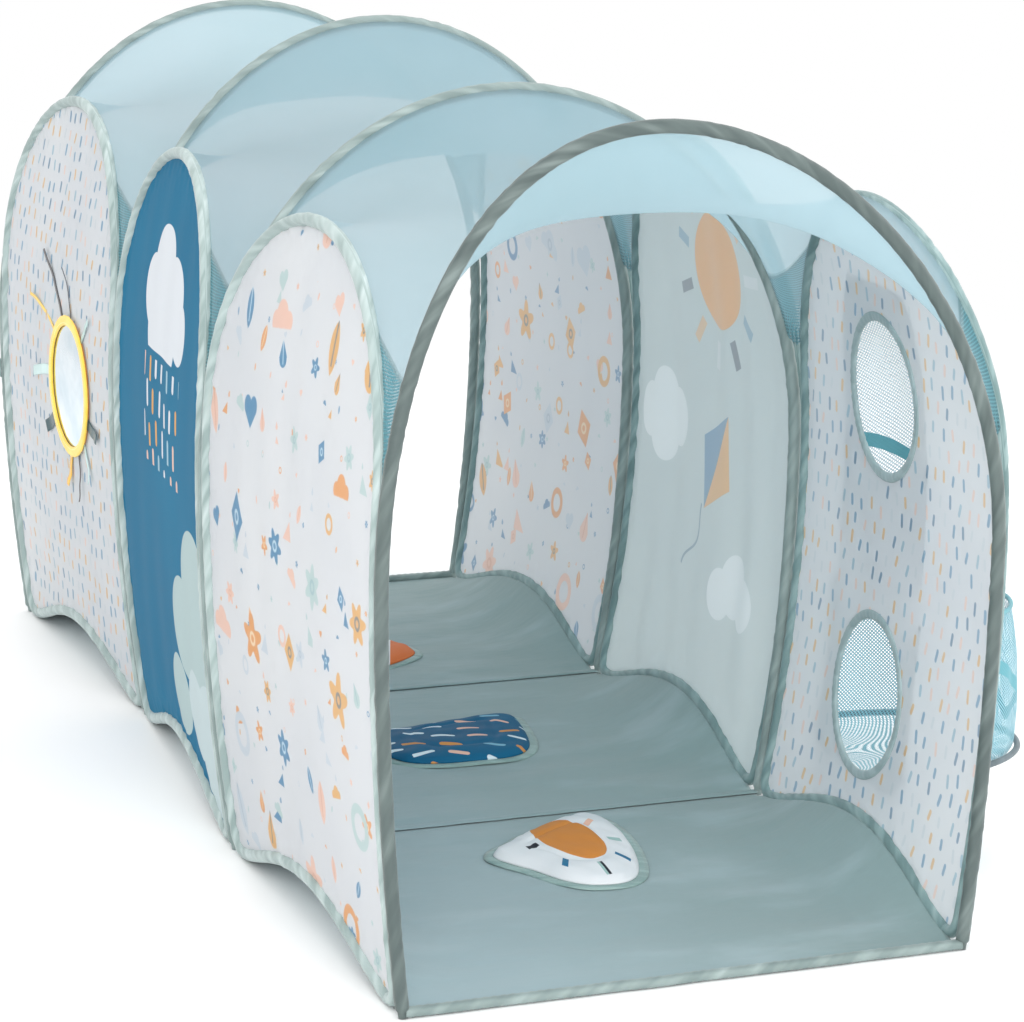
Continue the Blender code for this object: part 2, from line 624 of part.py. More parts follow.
def make_window_binding(name, height):
    """A folded ring round a window, whose slot takes the cloth's cut edge."""
    radius = WINDOW_RADIUS + BINDING_LAP - BINDING_WIDTH / 2
    half_width, half_thickness = BINDING_WIDTH / 2, BINDING_THICKNESS / 2
    half_slot = CLOTH_THICKNESS / 2 + BINDING_SLOT_GAP
    floor = BINDING_LAP + FIT_GAP - half_width
    outline = [(-half_width, half_slot), (-half_width, half_thickness), (half_width, half_thickness),
               (half_width, -half_thickness), (-half_width, -half_thickness), (-half_width, -half_slot),
               (floor, -half_slot), (floor, half_slot)]
    rows = []
    for step in range(RING_STEPS):
        turn = 2 * math.pi * step / RING_STEPS
        y, z = WINDOW_Y + radius * math.cos(turn), height + radius * math.sin(turn)
        frame = panel_frame(1, 1, y, z, (-math.cos(turn), -math.sin(turn)))
        rows.append(placed(panel_point(1, 1, y, z), frame, outline))
    mesh = grid_mesh(name, rows, loop_rows=True, loop_points=True)
    add_object(name, mesh, SAGE, pivot=panel_pivot(1, 1))


def net_row(height, depth, half_width, off=TRIM_OFF):
    """One level of a net that bulges out from the first right panel."""
    row = []
    for step in range(NET_STEPS + 1):
        turn = math.pi * step / NET_STEPS
        y = WINDOW_Y - half_width * math.cos(turn)
        row.append(panel_point(1, 1, y, height, off + depth * math.sin(turn) ** 0.8))
    return row


def basket_pivot():
    """The rim turns on the line through its two ends, beside the panel."""
    return tuple(panel_point(1, 1, WINDOW_Y, RIM_HEIGHT, TRIM_OFF + RIM_END_GAP))


def make_net(name, rows, pivot):
    mesh = grid_mesh(name, rows)
    face_towards(mesh, (2 * BAY_PITCH, WINDOW_Y, rows[-1][0][2]))
    solidify(add_object(name, mesh, NET_WHITE, pivot=pivot), NET_THICKNESS, 1)


def make_chute():
    fall = CHUTE_TOP - CHUTE_BOTTOM
    make_net("chute_net", [net_row(CHUTE_TOP - fall * down, CHUTE_DEPTH * out, CHUTE_HALF_WIDTH * wide)
                           for down, out, wide in CHUTE_SHARES], panel_pivot(1, 1))


def make_basket():
    rows = []
    for top, bottom, shares in ((BASKET_TOP, RIM_HEIGHT, BASKET_SHARES), (RIM_HEIGHT, BASKET_BOTTOM, BASKET_BOTTOM_SHARES)):
        for down, out, wide in shares:
            rows.append(net_row(top - (top - bottom) * down, BASKET_DEPTH * out, BASKET_HALF_WIDTH * wide))
    make_net("basket_net", rows, basket_pivot())
    _, out, wide = BASKET_SHARES[0]
    lift = np.array([0, 0, BASKET_TRIM_RADIUS + SKIN_GAP])
    edge = [point + lift for point in net_row(BASKET_TOP, BASKET_DEPTH * out, BASKET_HALF_WIDTH * wide)]
    wire("basket_trim", edge, BASKET_TRIM_RADIUS, NET_TEAL, metallic=0.0, pivot=basket_pivot())


def make_rim():
    """The basket's wire rim: a half oval, level with the ground, close round the net."""
    clear = NET_THICKNESS + SKIN_GAP + RIM_SLEEVE_RADIUS
    path = net_row(RIM_HEIGHT, BASKET_DEPTH + clear, BASKET_HALF_WIDTH + clear)
    for end in (0, -1):
        path[end] = path[end] + np.array([RIM_END_GAP, 0, 0])
    frames = path_frames(path, np.array([0.0, 0.0, 1.0]))
    open_tube("basket_rim_sleeve", path, frames, RIM_SLEEVE_RADIUS, RIM_SLEEVE_BORE_RADIUS, RIM_SIDES, DARK,
              basket_pivot())
    wire("basket_rim_wire", path, WIRE_RADIUS, STEEL, pivot=basket_pivot())


# Sun mirror and tab

def mirror_point(radius, turn, off, beside=0.0):
    """A point beside the line that runs from the mirror's middle in the turn's direction."""
    along = radius * math.cos(turn) - beside * math.sin(turn)
    up = radius * math.sin(turn) + beside * math.cos(turn)
    return panel_point(3, -1, MIRROR_Y + along, MIRROR_HEIGHT + up, off)


def disc_rows(radius, turns, low, high):
    """Rings for a thin disc that follows the panel's bow: up its back, then down its face."""
    back = [[mirror_point(radius * share, turn, low) for turn in turns] for share in DISC_SHARES]
    front = [[mirror_point(radius * share, turn, high) for turn in turns] for share in DISC_SHARES]
    return back + front[::-1]


def make_mirror():
    pivot = panel_pivot(3, -1)
    turns = [2 * math.pi * step / RING_STEPS for step in range(RING_STEPS)]
    low = TRIM_OFF + BACKING_THICKNESS + SKIN_GAP
    mesh = grid_mesh("mirror_disc", disc_rows(MIRROR_RADIUS, turns, low, low + MIRROR_THICKNESS),
                     loop_points=True, caps=True)
    add_object("mirror_disc", mesh, PALE_BLUE, 0.08, 0.9, pivot)
    top = low + MIRROR_RING_THICKNESS
    edges = ((MIRROR_RADIUS + FIT_GAP, low), (MIRROR_RING_RADIUS, low),
             (MIRROR_RING_RADIUS, top), (MIRROR_RADIUS + FIT_GAP, top))
    rows = [[mirror_point(radius, turn, off) for turn in turns] for radius, off in edges]
    add_object("mirror_ring", grid_mesh("mirror_ring", rows, loop_rows=True, loop_points=True), YELLOW, pivot=pivot)


def backing_turns():
    """Directions of the backing's corners, two for each ribbon's root and more to fill the arcs."""
    turns, roots = [], []
    for index, (degrees, _, width_share) in enumerate(RIBBON_SHARES):
        half = math.asin(width_share * MIRROR_RADIUS / 2 / BACKING_RADIUS)
        start, end = math.radians(degrees) - half, math.radians(degrees) + half
        roots.append(len(turns))
        next_degrees, _, next_share = RIBBON_SHARES[(index + 1) % len(RIBBON_SHARES)]
        next_half = math.asin(next_share * MIRROR_RADIUS / 2 / BACKING_RADIUS)
        next_start = math.radians(next_degrees) - next_half
        if next_start < end:
            next_start += 2 * math.pi
        fill = max(1, round((next_start - end) / math.radians(20)))
        turns += [start] + [end + (next_start - end) * step / fill for step in range(fill)]
    return turns, roots


def make_ribbon_backing():
    """A round patch behind the mirror with tape ribbons sewn into its edge."""
    low, high = TRIM_OFF, TRIM_OFF + BACKING_THICKNESS
    turns, roots = backing_turns()
    mesh = grid_mesh("ribbon_backing", disc_rows(BACKING_RADIUS, turns, low, high), loop_points=True, caps=True)
    work = bmesh.new()
    work.from_mesh(mesh)
    disc = list(work.verts)
    rim_row = len(DISC_SHARES) - 1
    for root, (degrees, length_share, width_share) in zip(roots, RIBBON_SHARES):
        corner = [rim_row * len(turns) + root, rim_row * len(turns) + root + 1]
        corner += [index + len(turns) for index in corner[::-1]]
        corners = [disc[index] for index in corner]
        side = next(face for face in corners[0].link_faces if all(vertex in face.verts for vertex in corners))
        half = width_share * MIRROR_RADIUS / 2
        start = math.sqrt(BACKING_RADIUS ** 2 - half ** 2)
        for step in range(1, RIBBON_STEPS + 1):
            reach = start + length_share * MIRROR_RADIUS * step / RIBBON_STEPS
            ends = [mirror_point(reach, math.radians(degrees), off, beside)
                    for off, beside in ((low, -half), (low, half), (high, half), (high, -half))]
            made = [work.verts.new(end) for end in ends]
            for index in range(4):
                after = (index + 1) % 4
                work.faces.new((corners[index], corners[after], made[after], made[index]))
            if step == 1:
                work.faces.remove(side)
            corners = made
        work.faces.new(corners)
    bmesh.ops.recalc_face_normals(work, faces=work.faces)
    work.to_mesh(mesh)
    work.free()
    add_object("ribbon_backing", mesh, ORANGE, pivot=panel_pivot(3, -1))


def make_tab():
    """A folded tape tab that stands out from the rear hoop's left leg."""
    x = HOOP_SIDE_SHIFTS[-1] - leg_half_width(HOOPS[-1], TAB_HEIGHT) - SLEEVE_RADIUS - FIT_GAP
    outline = bpy.data.curves.new("tape_tab", "CURVE")
    outline.dimensions = "2D"
    outline.fill_mode = "BOTH"
    outline.extrude = CLOTH_THICKNESS / 2
    corners = ((0, -TAB_SIZE / 2), (0, TAB_SIZE / 2), (-TAB_SIZE, 0))
    spline = outline.splines.new("POLY")
    spline.points.add(len(corners) - 1)
    for place, (out, up) in zip(spline.points, corners):
        place.co = (out, up, 0, 1)
    spline.use_cyclic_u = True
    tab = add_object("tape_tab", outline, SAGE)
    tab.rotation_euler = (math.pi / 2, 0, 0)
    tab.location = (x, hoop_y(HOOPS[-1]), TAB_HEIGHT)


clear_scene()
PARTS = collection("play_tunnel")
CUTTERS = collection("cutters")

for hoop_number in HOOPS:
    make_hoop(hoop_number)

for bay_number in BAYS:
    for side_word in SIDES:
        panel = make_panel(bay_number, side_word)
        if bay_number == BAYS[0] and side_word == "right":
            cut_window(panel, "upper_window_cut", UPPER_WINDOW_HEIGHT)
            cut_window(panel, "lower_window_cut", LOWER_WINDOW_HEIGHT)
    make_roof(bay_number)
    make_floor(bay_number)
    make_flap(bay_number)

make_hems_and_tapes()
make_window_binding("window_binding_upper", UPPER_WINDOW_HEIGHT)
make_window_binding("window_binding_lower", LOWER_WINDOW_HEIGHT)
make_chute()
make_basket()
make_rim()
make_mirror()
make_ribbon_backing()
make_tab()
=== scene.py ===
import math

import bmesh
import bpy
import numpy as np
from mathutils import Matrix, Vector


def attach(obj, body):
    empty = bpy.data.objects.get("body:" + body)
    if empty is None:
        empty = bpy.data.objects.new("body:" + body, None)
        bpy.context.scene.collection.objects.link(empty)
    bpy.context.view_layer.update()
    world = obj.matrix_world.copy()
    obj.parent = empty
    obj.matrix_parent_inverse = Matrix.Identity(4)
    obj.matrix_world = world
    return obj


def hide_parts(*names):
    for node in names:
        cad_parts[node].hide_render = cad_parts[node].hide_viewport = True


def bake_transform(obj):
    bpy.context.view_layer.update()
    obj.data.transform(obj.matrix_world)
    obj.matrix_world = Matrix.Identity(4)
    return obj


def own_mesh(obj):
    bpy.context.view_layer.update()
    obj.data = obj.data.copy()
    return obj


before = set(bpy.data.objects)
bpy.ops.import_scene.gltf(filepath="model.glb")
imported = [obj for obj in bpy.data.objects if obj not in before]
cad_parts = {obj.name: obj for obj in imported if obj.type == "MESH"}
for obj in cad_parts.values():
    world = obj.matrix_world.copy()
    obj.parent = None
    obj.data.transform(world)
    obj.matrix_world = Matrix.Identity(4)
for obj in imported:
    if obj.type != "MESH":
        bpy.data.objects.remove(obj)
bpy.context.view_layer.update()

# The tunnel's own measures, as its source has them, in metres
tunnel = {
    "pitch": 0.631, "waistHeight": 0.477, "sleeve": 0.008,
    "heights": np.array((0.973, 0.947, 0.976, 0.948)),
    "waists": np.array((0.3692, 0.3970, 0.3829, 0.3871)),
    "bases": np.array((0.3423, 0.3583, 0.3436, 0.3527)),
    "shifts": np.array((-0.0337, -0.0171, 0.0286, 0.0229)),
    "leans": np.array((-0.055, -0.007, 0.0, -0.004)),
    "spring": 0.570, "panelTop": 0.839, "drawIn": 0.041, "bottomRise": 0.055, "corner": 0.026,
    "bulges": {-1: 0.0, 1: 0.011},
    "hoopToPanel": 0.0166, "panelBottom": 0.0083, "split": 0.600, "trimOff": 0.0014,
    "floorThickness": 0.002, "floorFlat": 0.235,
}
halfPanel = tunnel["pitch"] / 2 - tunnel["hoopToPanel"]
panelRise = tunnel["panelTop"] - tunnel["sleeve"] - tunnel["spring"]
sides = {"left": -1, "right": 1}


# Colours are written as a paint chart has them, 0 to 255, and turned linear here.
def tint(red, green, blue):
    share = np.array((red, green, blue)) / 255
    return (*np.where(share < 0.04045, share / 12.92, ((share + 0.055) / 1.055) ** 2.4).tolist(), 1.0)


# Shapes

# A smooth random relief about 1 high: a sum of cosine waves with seeded directions, lengths and phases.
def swell(points, seed, length, count=8, stretch=(1, 1, 1)):
    draw = np.random.default_rng(seed)
    ways = draw.normal(size=(count, 3))
    ways /= np.linalg.norm(ways, axis=1)[:, None]
    waves = 2 * math.pi / (length * draw.uniform(0.7, 1.6, count))
    phases = draw.uniform(0, 2 * math.pi, count)
    turned = (points * np.array(stretch)) @ (ways * waves[:, None]).T + phases
    return np.cos(turned).sum(-1) / math.sqrt(count)


# Rises from 0 at low to 1 at high, level at both ends.
def ease(value, low, high):
    share = np.clip((value - low) / (high - low), 0, 1)
    return share * share * (3 - 2 * share)


def unit(vectors):
    return vectors / np.linalg.norm(vectors, axis=-1, keepdims=True)


# Angles evenly round a full turn
def around(count):
    return np.linspace(0, 2 * math.pi, count, endpoint=False)


# Coordinates of unlike shapes, spread over one grid
def spread(*parts):
    return np.stack(np.broadcast_arrays(*parts), -1)


# A sine or cosine to a power, with its sign kept. Powers below 1 make an oval squarer.
def squarer(wave, power):
    return np.sign(wave) * np.abs(wave) ** power


# Sections carried along a line, wide along the one way and tall along the other
def carried(line, out, over, wide, tall):
    return line[:, None] + out[:, None] * wide[..., None] + over[:, None] * tall[..., None]


# The flat way out from a closed line that runs anticlockwise: a quarter turn from its own direction
def outFrom(line):
    ahead = np.roll(line, -1, 0) - np.roll(line, 1, 0)
    return unit(np.stack((ahead[:, 1], -ahead[:, 0]), 1))


# Normals of a grid of points, from the cross product of its two directions.
def gridNormals(points):
    return unit(np.cross(np.gradient(points, axis=1), np.gradient(points, axis=0)) + 1e-12)


def newObject(name, data):
    made = bpy.data.objects.new(name, data)
    bpy.context.scene.collection.objects.link(made)
    return made


# Quads through a grid of points, rows by columns. keep says which quads stay, uv is in metres, and face is the way
# that most faces of an open sheet look. A closed shell's faces look outwards.
def surface(name, points, uv=None, closeRows=False, closeColumns=False, caps=False, keep=None, weld=False, face=None):
    rows, columns = points.shape[:2]
    index = np.arange(rows * columns).reshape(rows, columns)
    if closeRows:
        index = np.vstack((index, index[:1]))
    if closeColumns:
        index = np.hstack((index, index[:, :1]))
    quads = np.stack((index[:-1, :-1], index[:-1, 1:], index[1:, 1:], index[1:, :-1]), -1)
    quads = quads[keep] if keep is not None else quads.reshape(-1, 4)
    faces = quads.tolist()
    if caps:
        faces += [list(range(columns))[::-1], [(rows - 1) * columns + column for column in range(columns)]]
    mesh = bpy.data.meshes.new(name)
    mesh.from_pydata(points.reshape(-1, 3).tolist(), [], faces)
    if uv is not None:
        layer = mesh.uv_layers.new(name="cloth")
        corners = np.empty(len(mesh.loops), np.int32)
        mesh.loops.foreach_get("vertex_index", corners)
        layer.data.foreach_set("uv", uv.reshape(-1, 2)[corners].astype(np.float32).ravel())
    closed = closeColumns and (closeRows or caps)
    if weld or closed or keep is not None:
        work = bmesh.new()
        work.from_mesh(mesh)
        bmesh.ops.delete(work, geom=[vertex for vertex in work.verts if not vertex.link_faces], context="VERTS")
        if weld:
            bmesh.ops.remove_doubles(work, verts=work.verts, dist=0.00002)
        if closed:
            bmesh.ops.recalc_face_normals(work, faces=work.faces)
        work.to_mesh(mesh)
        work.free()
    mesh.polygons.foreach_set("use_smooth", np.ones(len(mesh.polygons), bool))
    if face:
        normals, areas = np.empty(len(mesh.polygons) * 3), np.empty(len(mesh.polygons))
        mesh.polygons.foreach_get("normal", normals)
        mesh.polygons.foreach_get("area", areas)
        if (normals.reshape(-1, 3) @ np.array(face) * areas).sum() < 0:
            mesh.flip_normals()
    return newObject(name, mesh)


# Half of the thickness to each side of the sheet
def thicken(piece, thickness):
    thick = piece.modifiers.new("Cloth thickness", "SOLIDIFY")
    thick.thickness, thick.offset, thick.use_even_offset = thickness, 0.0, False


# Evenly spaced points along a line of points, by its arc length.
def evenly(line, step, closed=False):
    if closed:
        line = np.vstack((line, line[:1]))
    lengths = np.concatenate(([0], np.cumsum(np.linalg.norm(np.diff(line, axis=0), axis=1))))
    count = max(3, round(lengths[-1] / step))
    marks = np.linspace(0, lengths[-1], count + 1)
    if closed:
        marks = marks[:-1]
    return np.stack([np.interp(marks, lengths, line[:, axis]) for axis in range(line.shape[1])], 1), marks


def hoopY(hoop):
    return (hoop - 2.5) * tunnel["pitch"]


def bayMiddle(bay):
    return (bay - 2) * tunnel["pitch"]


# A value of the hoops at a place along a bay, in proportion between its two hoops
def between(values, bay, y):
    share = (y - hoopY(bay)) / tunnel["pitch"]
    return values[bay - 1] * (1 - share) + values[bay] * share


# Half the width of the hoops and panels below the waist, drawn in by a square law
def lowHalf(waist, base, z):
    return waist - (waist - base) * ((tunnel["waistHeight"] - z) / tunnel["waistHeight"]) ** 2


# The bowed panel's middle surface: widest at the waist, drawn in by a square law above and below it.
def panelAt(bay, side, y, z, off=0.0):
    bulge = tunnel["bulges"][side]
    waist, base = between(tunnel["waists"], bay, y) + bulge, between(tunnel["bases"], bay, y)
    rise = (z - tunnel["waistHeight"]) / (tunnel["panelTop"] - tunnel["waistHeight"])
    high = waist - (tunnel["drawIn"] + bulge) * rise ** 2
    half = np.where(z < tunnel["waistHeight"], lowHalf(waist, base, z), high)
    return spread(side * (half + off) + between(tunnel["shifts"], bay, y), y, z)


# Places on a bowed panel, each with its way out, which is given flat as (along, up), and the way square to the
# panel, both worked out from steps of 1 mm over it.
def panelFrames(bay, side, y, z, away):
    here = panelAt(bay, side, y, z)
    lengthwise = unit(panelAt(bay, side, y + 0.001, z) - here)
    upwards = unit(panelAt(bay, side, y, z + 0.001) - here)
    out = unit(lengthwise * away[:, :1] + upwards * away[:, 1:])
    return here, out, unit(np.cross(lengthwise, upwards))


# The height of a panel's bottom edge: it rises to the middle by one less the square, to the power of 1.5.
def bottomEdge(along):
    share = np.minimum(1, np.abs(along) / (halfPanel - tunnel["corner"]))
    return tunnel["panelBottom"] + tunnel["bottomRise"] * (1 - share ** 2) ** 1.5


outlineCut = {"bottom": 90, "corner": 10, "edge": 90, "arch": 130}


# The half oval on top of a panel, as (along, height)
def panelArch(sweep):
    return spread(halfPanel * np.cos(sweep), tunnel["spring"] + panelRise * np.sin(sweep))


# A panel's outline as (along, height), anticlockwise from its low front corner: the arched bottom run, rounded
# corners, straight edges and the half oval on top. reach moves it in (below 0) or out.
def panelOutline(reach=0.0):
    half, corner, low = halfPanel, tunnel["corner"], tunnel["panelBottom"]
    along = np.linspace(corner - half, half - corner, outlineCut["bottom"])
    bottom = spread(along, bottomEdge(along))
    share = np.linspace(0, 1, outlineCut["corner"])[1:, None]
    turn = (1 - share) ** 2 * bottom[-1] + 2 * share * (1 - share) * np.array((half, low)) \
        + share ** 2 * np.array((half, low + corner))
    edge = spread(half, np.linspace(low + corner, tunnel["spring"], outlineCut["edge"])[1:])
    arch = panelArch(np.linspace(0, math.pi, outlineCut["arch"])[1:-1])
    right = np.vstack((turn, edge))
    line = np.vstack((bottom, right, arch, (right * (-1, 1))[::-1]))[:-1]
    return line + outFrom(line) * reach


# How far each (along, height) point is from the outline.
def edgeDistance(flat, outline):
    line, _ = evenly(outline, 0.004, closed=True)
    shape = flat.shape[:-1]
    points = flat.reshape(-1, 2)
    nearest = np.full(len(points), 9.0)
    for start in range(0, len(points), 4000):
        part = points[start:start + 4000]
        nearest[start:start + 4000] = np.linalg.norm(part[:, None] - line[None], axis=2).min(1)
    return nearest.reshape(shape)


# How high a hoop's arch rises over the waist
def archRise(hoop):
    return tunnel["heights"][hoop - 1] - tunnel["sleeve"] - tunnel["waistHeight"]


# A hoop's arch: a half oval over the waist, whose top leans to one side.
def archAt(hoop, sweep):
    lean = tunnel["leans"][hoop - 1] * np.sin(sweep) ** 2
    return -tunnel["waists"][hoop - 1] * np.cos(sweep) + lean, tunnel["waistHeight"] + archRise(hoop) * np.sin(sweep)


# The hoop's middle line: each leg bows out to the waist by a square law, then the arch goes over the top.
def hoopLine(hoop):
    waist, base, shift = (tunnel[key][hoop - 1] for key in ("waists", "bases", "shifts"))
    z = np.linspace(0, tunnel["waistHeight"], 60)
    out = lowHalf(waist, base, z)
    across, high = archAt(hoop, np.linspace(0, math.pi, 260)[1:-1])
    x = np.concatenate((-out, across, out[::-1])) + shift
    return spread(x, hoopY(hoop), np.concatenate((z, high, z[::-1])))


# Shader maths: a Signal is one socket, and the signs and names in operations add Math nodes to it.
class Signal:
    def __init__(self, tree, socket=None):
        self.tree, self.socket = tree, socket

    # Any other node: its settings first, then values or links of its sockets by name or number.
    def node(self, kind, settings=(), inputs=(), out=0):
        made = self.tree.nodes.new(kind)
        for name, value in dict(settings).items():
            setattr(made, name, value)
        for name, value in dict(inputs).items():
            if isinstance(value, Signal):
                self.tree.links.new(value.socket, made.inputs[name])
            else:
                made.inputs[name].default_value = value
        return Signal(self.tree, made.outputs[out])

    def math(self, operation, *values):
        return self.node("ShaderNodeMath", {"operation": operation}, dict(enumerate((self, *values))))

    def __rsub__(self, other):
        return (self * -1) + other

    # 0 below low, 1 above high, eased in between
    def step(self, low, high):
        return self.node("ShaderNodeMapRange", {"interpolation_type": "SMOOTHSTEP"},
                         {0: self, 1: low, 2: high, 3: 0.0, 4: 1.0})

    def parts(self):
        made = self.tree.nodes.new("ShaderNodeSeparateXYZ")
        self.tree.links.new(self.socket, made.inputs[0])
        return [Signal(self.tree, output) for output in made.outputs]

    # Mixes from one colour to another by this share.
    def blend(self, first, second):
        return self.node("ShaderNodeMix", {"data_type": "RGBA", "blend_type": "MIX"},
                         {0: self, 6: first, 7: second}, 2)

    # One of several colours, each from its own place on
    def choose(self, *stops):
        made = self.node("ShaderNodeValToRGB", (), {0: self})
        ramp = made.socket.node.color_ramp
        ramp.interpolation = "CONSTANT"
        while len(ramp.elements) < len(stops):
            ramp.elements.new(1.0)
        for element, (place, color) in zip(ramp.elements, stops):
            element.position, element.color = place, color
        return made


operations = {
    "__add__": "ADD", "__sub__": "SUBTRACT", "__mul__": "MULTIPLY", "__truediv__": "DIVIDE", "__pow__": "POWER",
    "__abs__": "ABSOLUTE", "__gt__": "GREATER_THAN", "__lt__": "LESS_THAN", "least": "MINIMUM", "most": "MAXIMUM",
    "sine": "SINE", "cosine": "COSINE", "floor": "FLOOR", "fract": "FRACT", "root": "SQRT",
}
for name, operation in operations.items():
    setattr(Signal, name, lambda self, *others, operation=operation: self.math(operation, *others))


class Paint:
    def __init__(self, name, **constants):
        self.material = bpy.data.materials.new(name)
        self.material.use_nodes = True
        self.tree = self.material.node_tree
        self.shader = self.tree.nodes["Principled BSDF"]
        self.start = Signal(self.tree)
        for socket, value in constants.items():
            self.shader.inputs[socket.replace("_", " ")].default_value = value

    def place(self):
        return self.start.node("ShaderNodeTexCoord", out="Object")

    def uv(self):
        return self.start.node("ShaderNodeUVMap", {"uv_map": "cloth"})

    def attribute(self, name):
        return self.start.node("ShaderNodeAttribute", {"attribute_name": name}, out="Fac")

    def joined(self, x, y, z=0.0):
        return self.start.node("ShaderNodeCombineXYZ", (), {0: x, 1: y, 2: z})

    def noise(self, where, scale, detail=3.0, rough=0.5):
        return self.start.node("ShaderNodeTexNoise", (), {"Vector": where, "Scale": scale, "Detail": detail,
                                                          "Roughness": rough})

    # Three random numbers for each cell
    def chance(self, x, y, seed):
        return self.start.node("ShaderNodeTexWhiteNoise", (), {"Vector": self.joined(x, y, seed)}, "Color").parts()

    def set(self, **sockets):
        for socket, value in sockets.items():
            self.tree.links.new(value.socket, self.shader.inputs[socket.replace("_", " ")])

    def bump(self, *layers):
        normal = None
        for height, distance, strength in layers:
            inputs = {"Height": height, "Distance": distance, "Strength": strength}
            if normal is not None:
                inputs["Normal"] = normal
            normal = self.start.node("ShaderNodeBump", (), inputs)
        self.set(Normal=normal)

    # Lets light through: a share of a plain translucent shader of one colour.
    def glowing(self, color, share):
        through = self.start.node("ShaderNodeBsdfTranslucent", (), {"Color": color})
        mixed = self.start.node("ShaderNodeMixShader", (), {
            0: share, 1: Signal(self.tree, self.shader.outputs[0]), 2: through})
        self.tree.links.new(mixed.socket, self.tree.nodes["Material Output"].inputs["Surface"])

    # A plain weave's relief: threads cross at a pitch, one over and one under.
    def weave(self, u, v, pitch):
        warp = (u * (math.pi / pitch)).sine()
        weft = (v * (math.pi / pitch)).sine()
        return warp * weft * 0.5 + 0.5


def dress(piece, paint, body, slotName, *nodes):
    piece.data.materials.append(paint.material)
    if body:
        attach(piece, body)
    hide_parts(*nodes)


# Materials

# Tape binding on hoops and panels: a fine twill tape whose slanting puckers carry painted shade in their folds and
# painted highlights on their ridges.
def bindingPaint(name, base, dark, light):
    paint = Paint(name, Roughness=0.62, Sheen_Weight=0.25, Sheen_Roughness=0.4)
    u, v, _ = paint.uv().parts()
    place = paint.place()
    slant = paint.noise(paint.joined(u * 38 + v * 75, v * 22, u * 5), 1.0, 1.5)
    cloudy = paint.noise(place, 5.0, 2.0)
    twill = ((u + v) * (2 * math.pi / 0.0011)).sine() * 0.5 + 0.5
    # Painted shade in the puckers' folds (dark), then painted highlights on their ridges (light)
    color = slant.step(0.38, 0.6).blend(dark, base)
    color = slant.step(0.56, 0.8).blend(color, light)
    color = (cloudy.step(0.35, 0.7) * 0.4).blend(color, base)
    color = (twill * 0.06).blend(color, dark)
    paint.set(Base_Color=color, Roughness=slant * 0.2 + 0.5)
    paint.bump((slant, 0.0008, 0.35), (twill, 0.00012, 0.4))
    return paint


sageBinding = bindingPaint("sage binding", tint(140, 156, 154), tint(120, 137, 135), tint(168, 183, 181))
darkBinding = bindingPaint("grey sage binding", tint(92, 105, 103), tint(74, 87, 86), tint(122, 135, 133))
paleBinding = bindingPaint("pale sage binding", tint(168, 185, 183), tint(138, 157, 155), tint(196, 209, 208))
# Painted shade: a darker copy of the sage binding, standing in for the shade over the right panels' sleeves
shadedSageBinding = bindingPaint("sage binding with painted shade", tint(132, 158, 158), tint(104, 132, 132), tint(160, 182, 182))
windowTape = bindingPaint("window binding", tint(158, 177, 179), tint(144, 164, 166), tint(174, 192, 194))
print("bindings mixed")


# Close-woven floor cloth with painted light and shade: paler and bluer at the left, where the light falls, darker and
# greener at the right, and painted highlights on the ridges of its creases
def floorPaint():
    paint = Paint("floor oxford", Roughness=0.66, Sheen_Weight=0.2)
    place = paint.place()
    u, v, _ = place.parts()
    cloudy = paint.noise(place, 2.6, 4.0)
    creases = paint.noise(paint.joined(u * 0.8 + v * 0.3, v * 1.6, 0.0), 6.0, 4.0, 0.55)
    weave = paint.weave(u, v, 0.0008)
    # Painted light and shade: the cloth pales towards the left and darkens towards the right
    side = (u + cloudy * 0.5).step(-0.25, 0.65)
    color = side.blend(tint(152, 174, 180), tint(130, 153, 153))
    # Painted highlights on the creases' ridges
    color = (creases.step(0.48, 0.72) * 0.4).blend(color, tint(170, 190, 195))
    color = (weave * 0.06).blend(color, tint(110, 135, 137))
    paint.set(Base_Color=color, Roughness=creases * 0.2 + 0.55)
    paint.bump((creases, 0.012, 0.45), (weave, 0.0001, 0.3))
    return paint


# 1 inside a form and 0 beyond it, from the distance to its edge
def inside(distance, soft=0.0005):
    return 1 - distance.step(-soft, soft)


# The length of the hypotenuse over a and b
def span(a, b):
    return (a * a + b * b).root()


# The coordinates a and b as seen from axes turned by an angle
def rotated(a, b, angle):
    sine, cosine = angle.sine(), angle.cosine()
    return a * cosine + b * sine, b * cosine - a * sine


# A grid of cells, every other row half a cell along: the place in the cell, from -0.5 to 0.5, and the cell's number
def cells(y, z, wide, high):
    v = z / high
    row = v.floor()
    u = y / wide + (row * 0.5).fract()
    return u.fract() - 0.5, v.fract() - 0.5, u.floor(), row


# Round-ended dashes, one in each cell, with their own tilt, place and length
def dashes(paint, y, z, wide, high, seed, thick, long, tilt, turned=0.0):
    across, up, column, row = cells(y, z, wide, high)
    one, two, three = paint.chance(column, row, seed)
    across = (across + (two - 0.5) * 0.34) * wide
    up = (up + (three - 0.5) * 0.34) * high
    crosswise, lengthwise = rotated(across, up, (one - 0.5) * tilt + turned)
    beyond = (abs(lengthwise) - (two * 0.4 + 0.8) * long).most(0.0)
    return inside(span(beyond, crosswise) - thick, 0.0004), (one * 7.31 + three * 3.17).fract()


# White woven cloth, faintly shaded, over which the prints are laid.
def whiteGround(paint, base, shade):
    place = paint.place()
    cloudy = paint.noise(place, 3.0, 4.0)
    _, y, z = place.parts()
    weave = paint.weave(y, z, 0.0008)
    return cloudy.step(0.3, 0.75).blend(shade, base), cloudy, weave, y, z


# The weave's shading over the prints, and the light that the cloth lets through
def finishCloth(paint, color, cloudy, weave, glow, share):
    shade = (weave * 0.05).blend(color, tint(120, 135, 145))
    paint.set(Base_Color=shade, Roughness=cloudy * 0.15 + 0.55)
    paint.bump((cloudy, 0.003, 0.2), (weave, 0.0001, 0.3))
    paint.glowing(glow, share)
    return paint


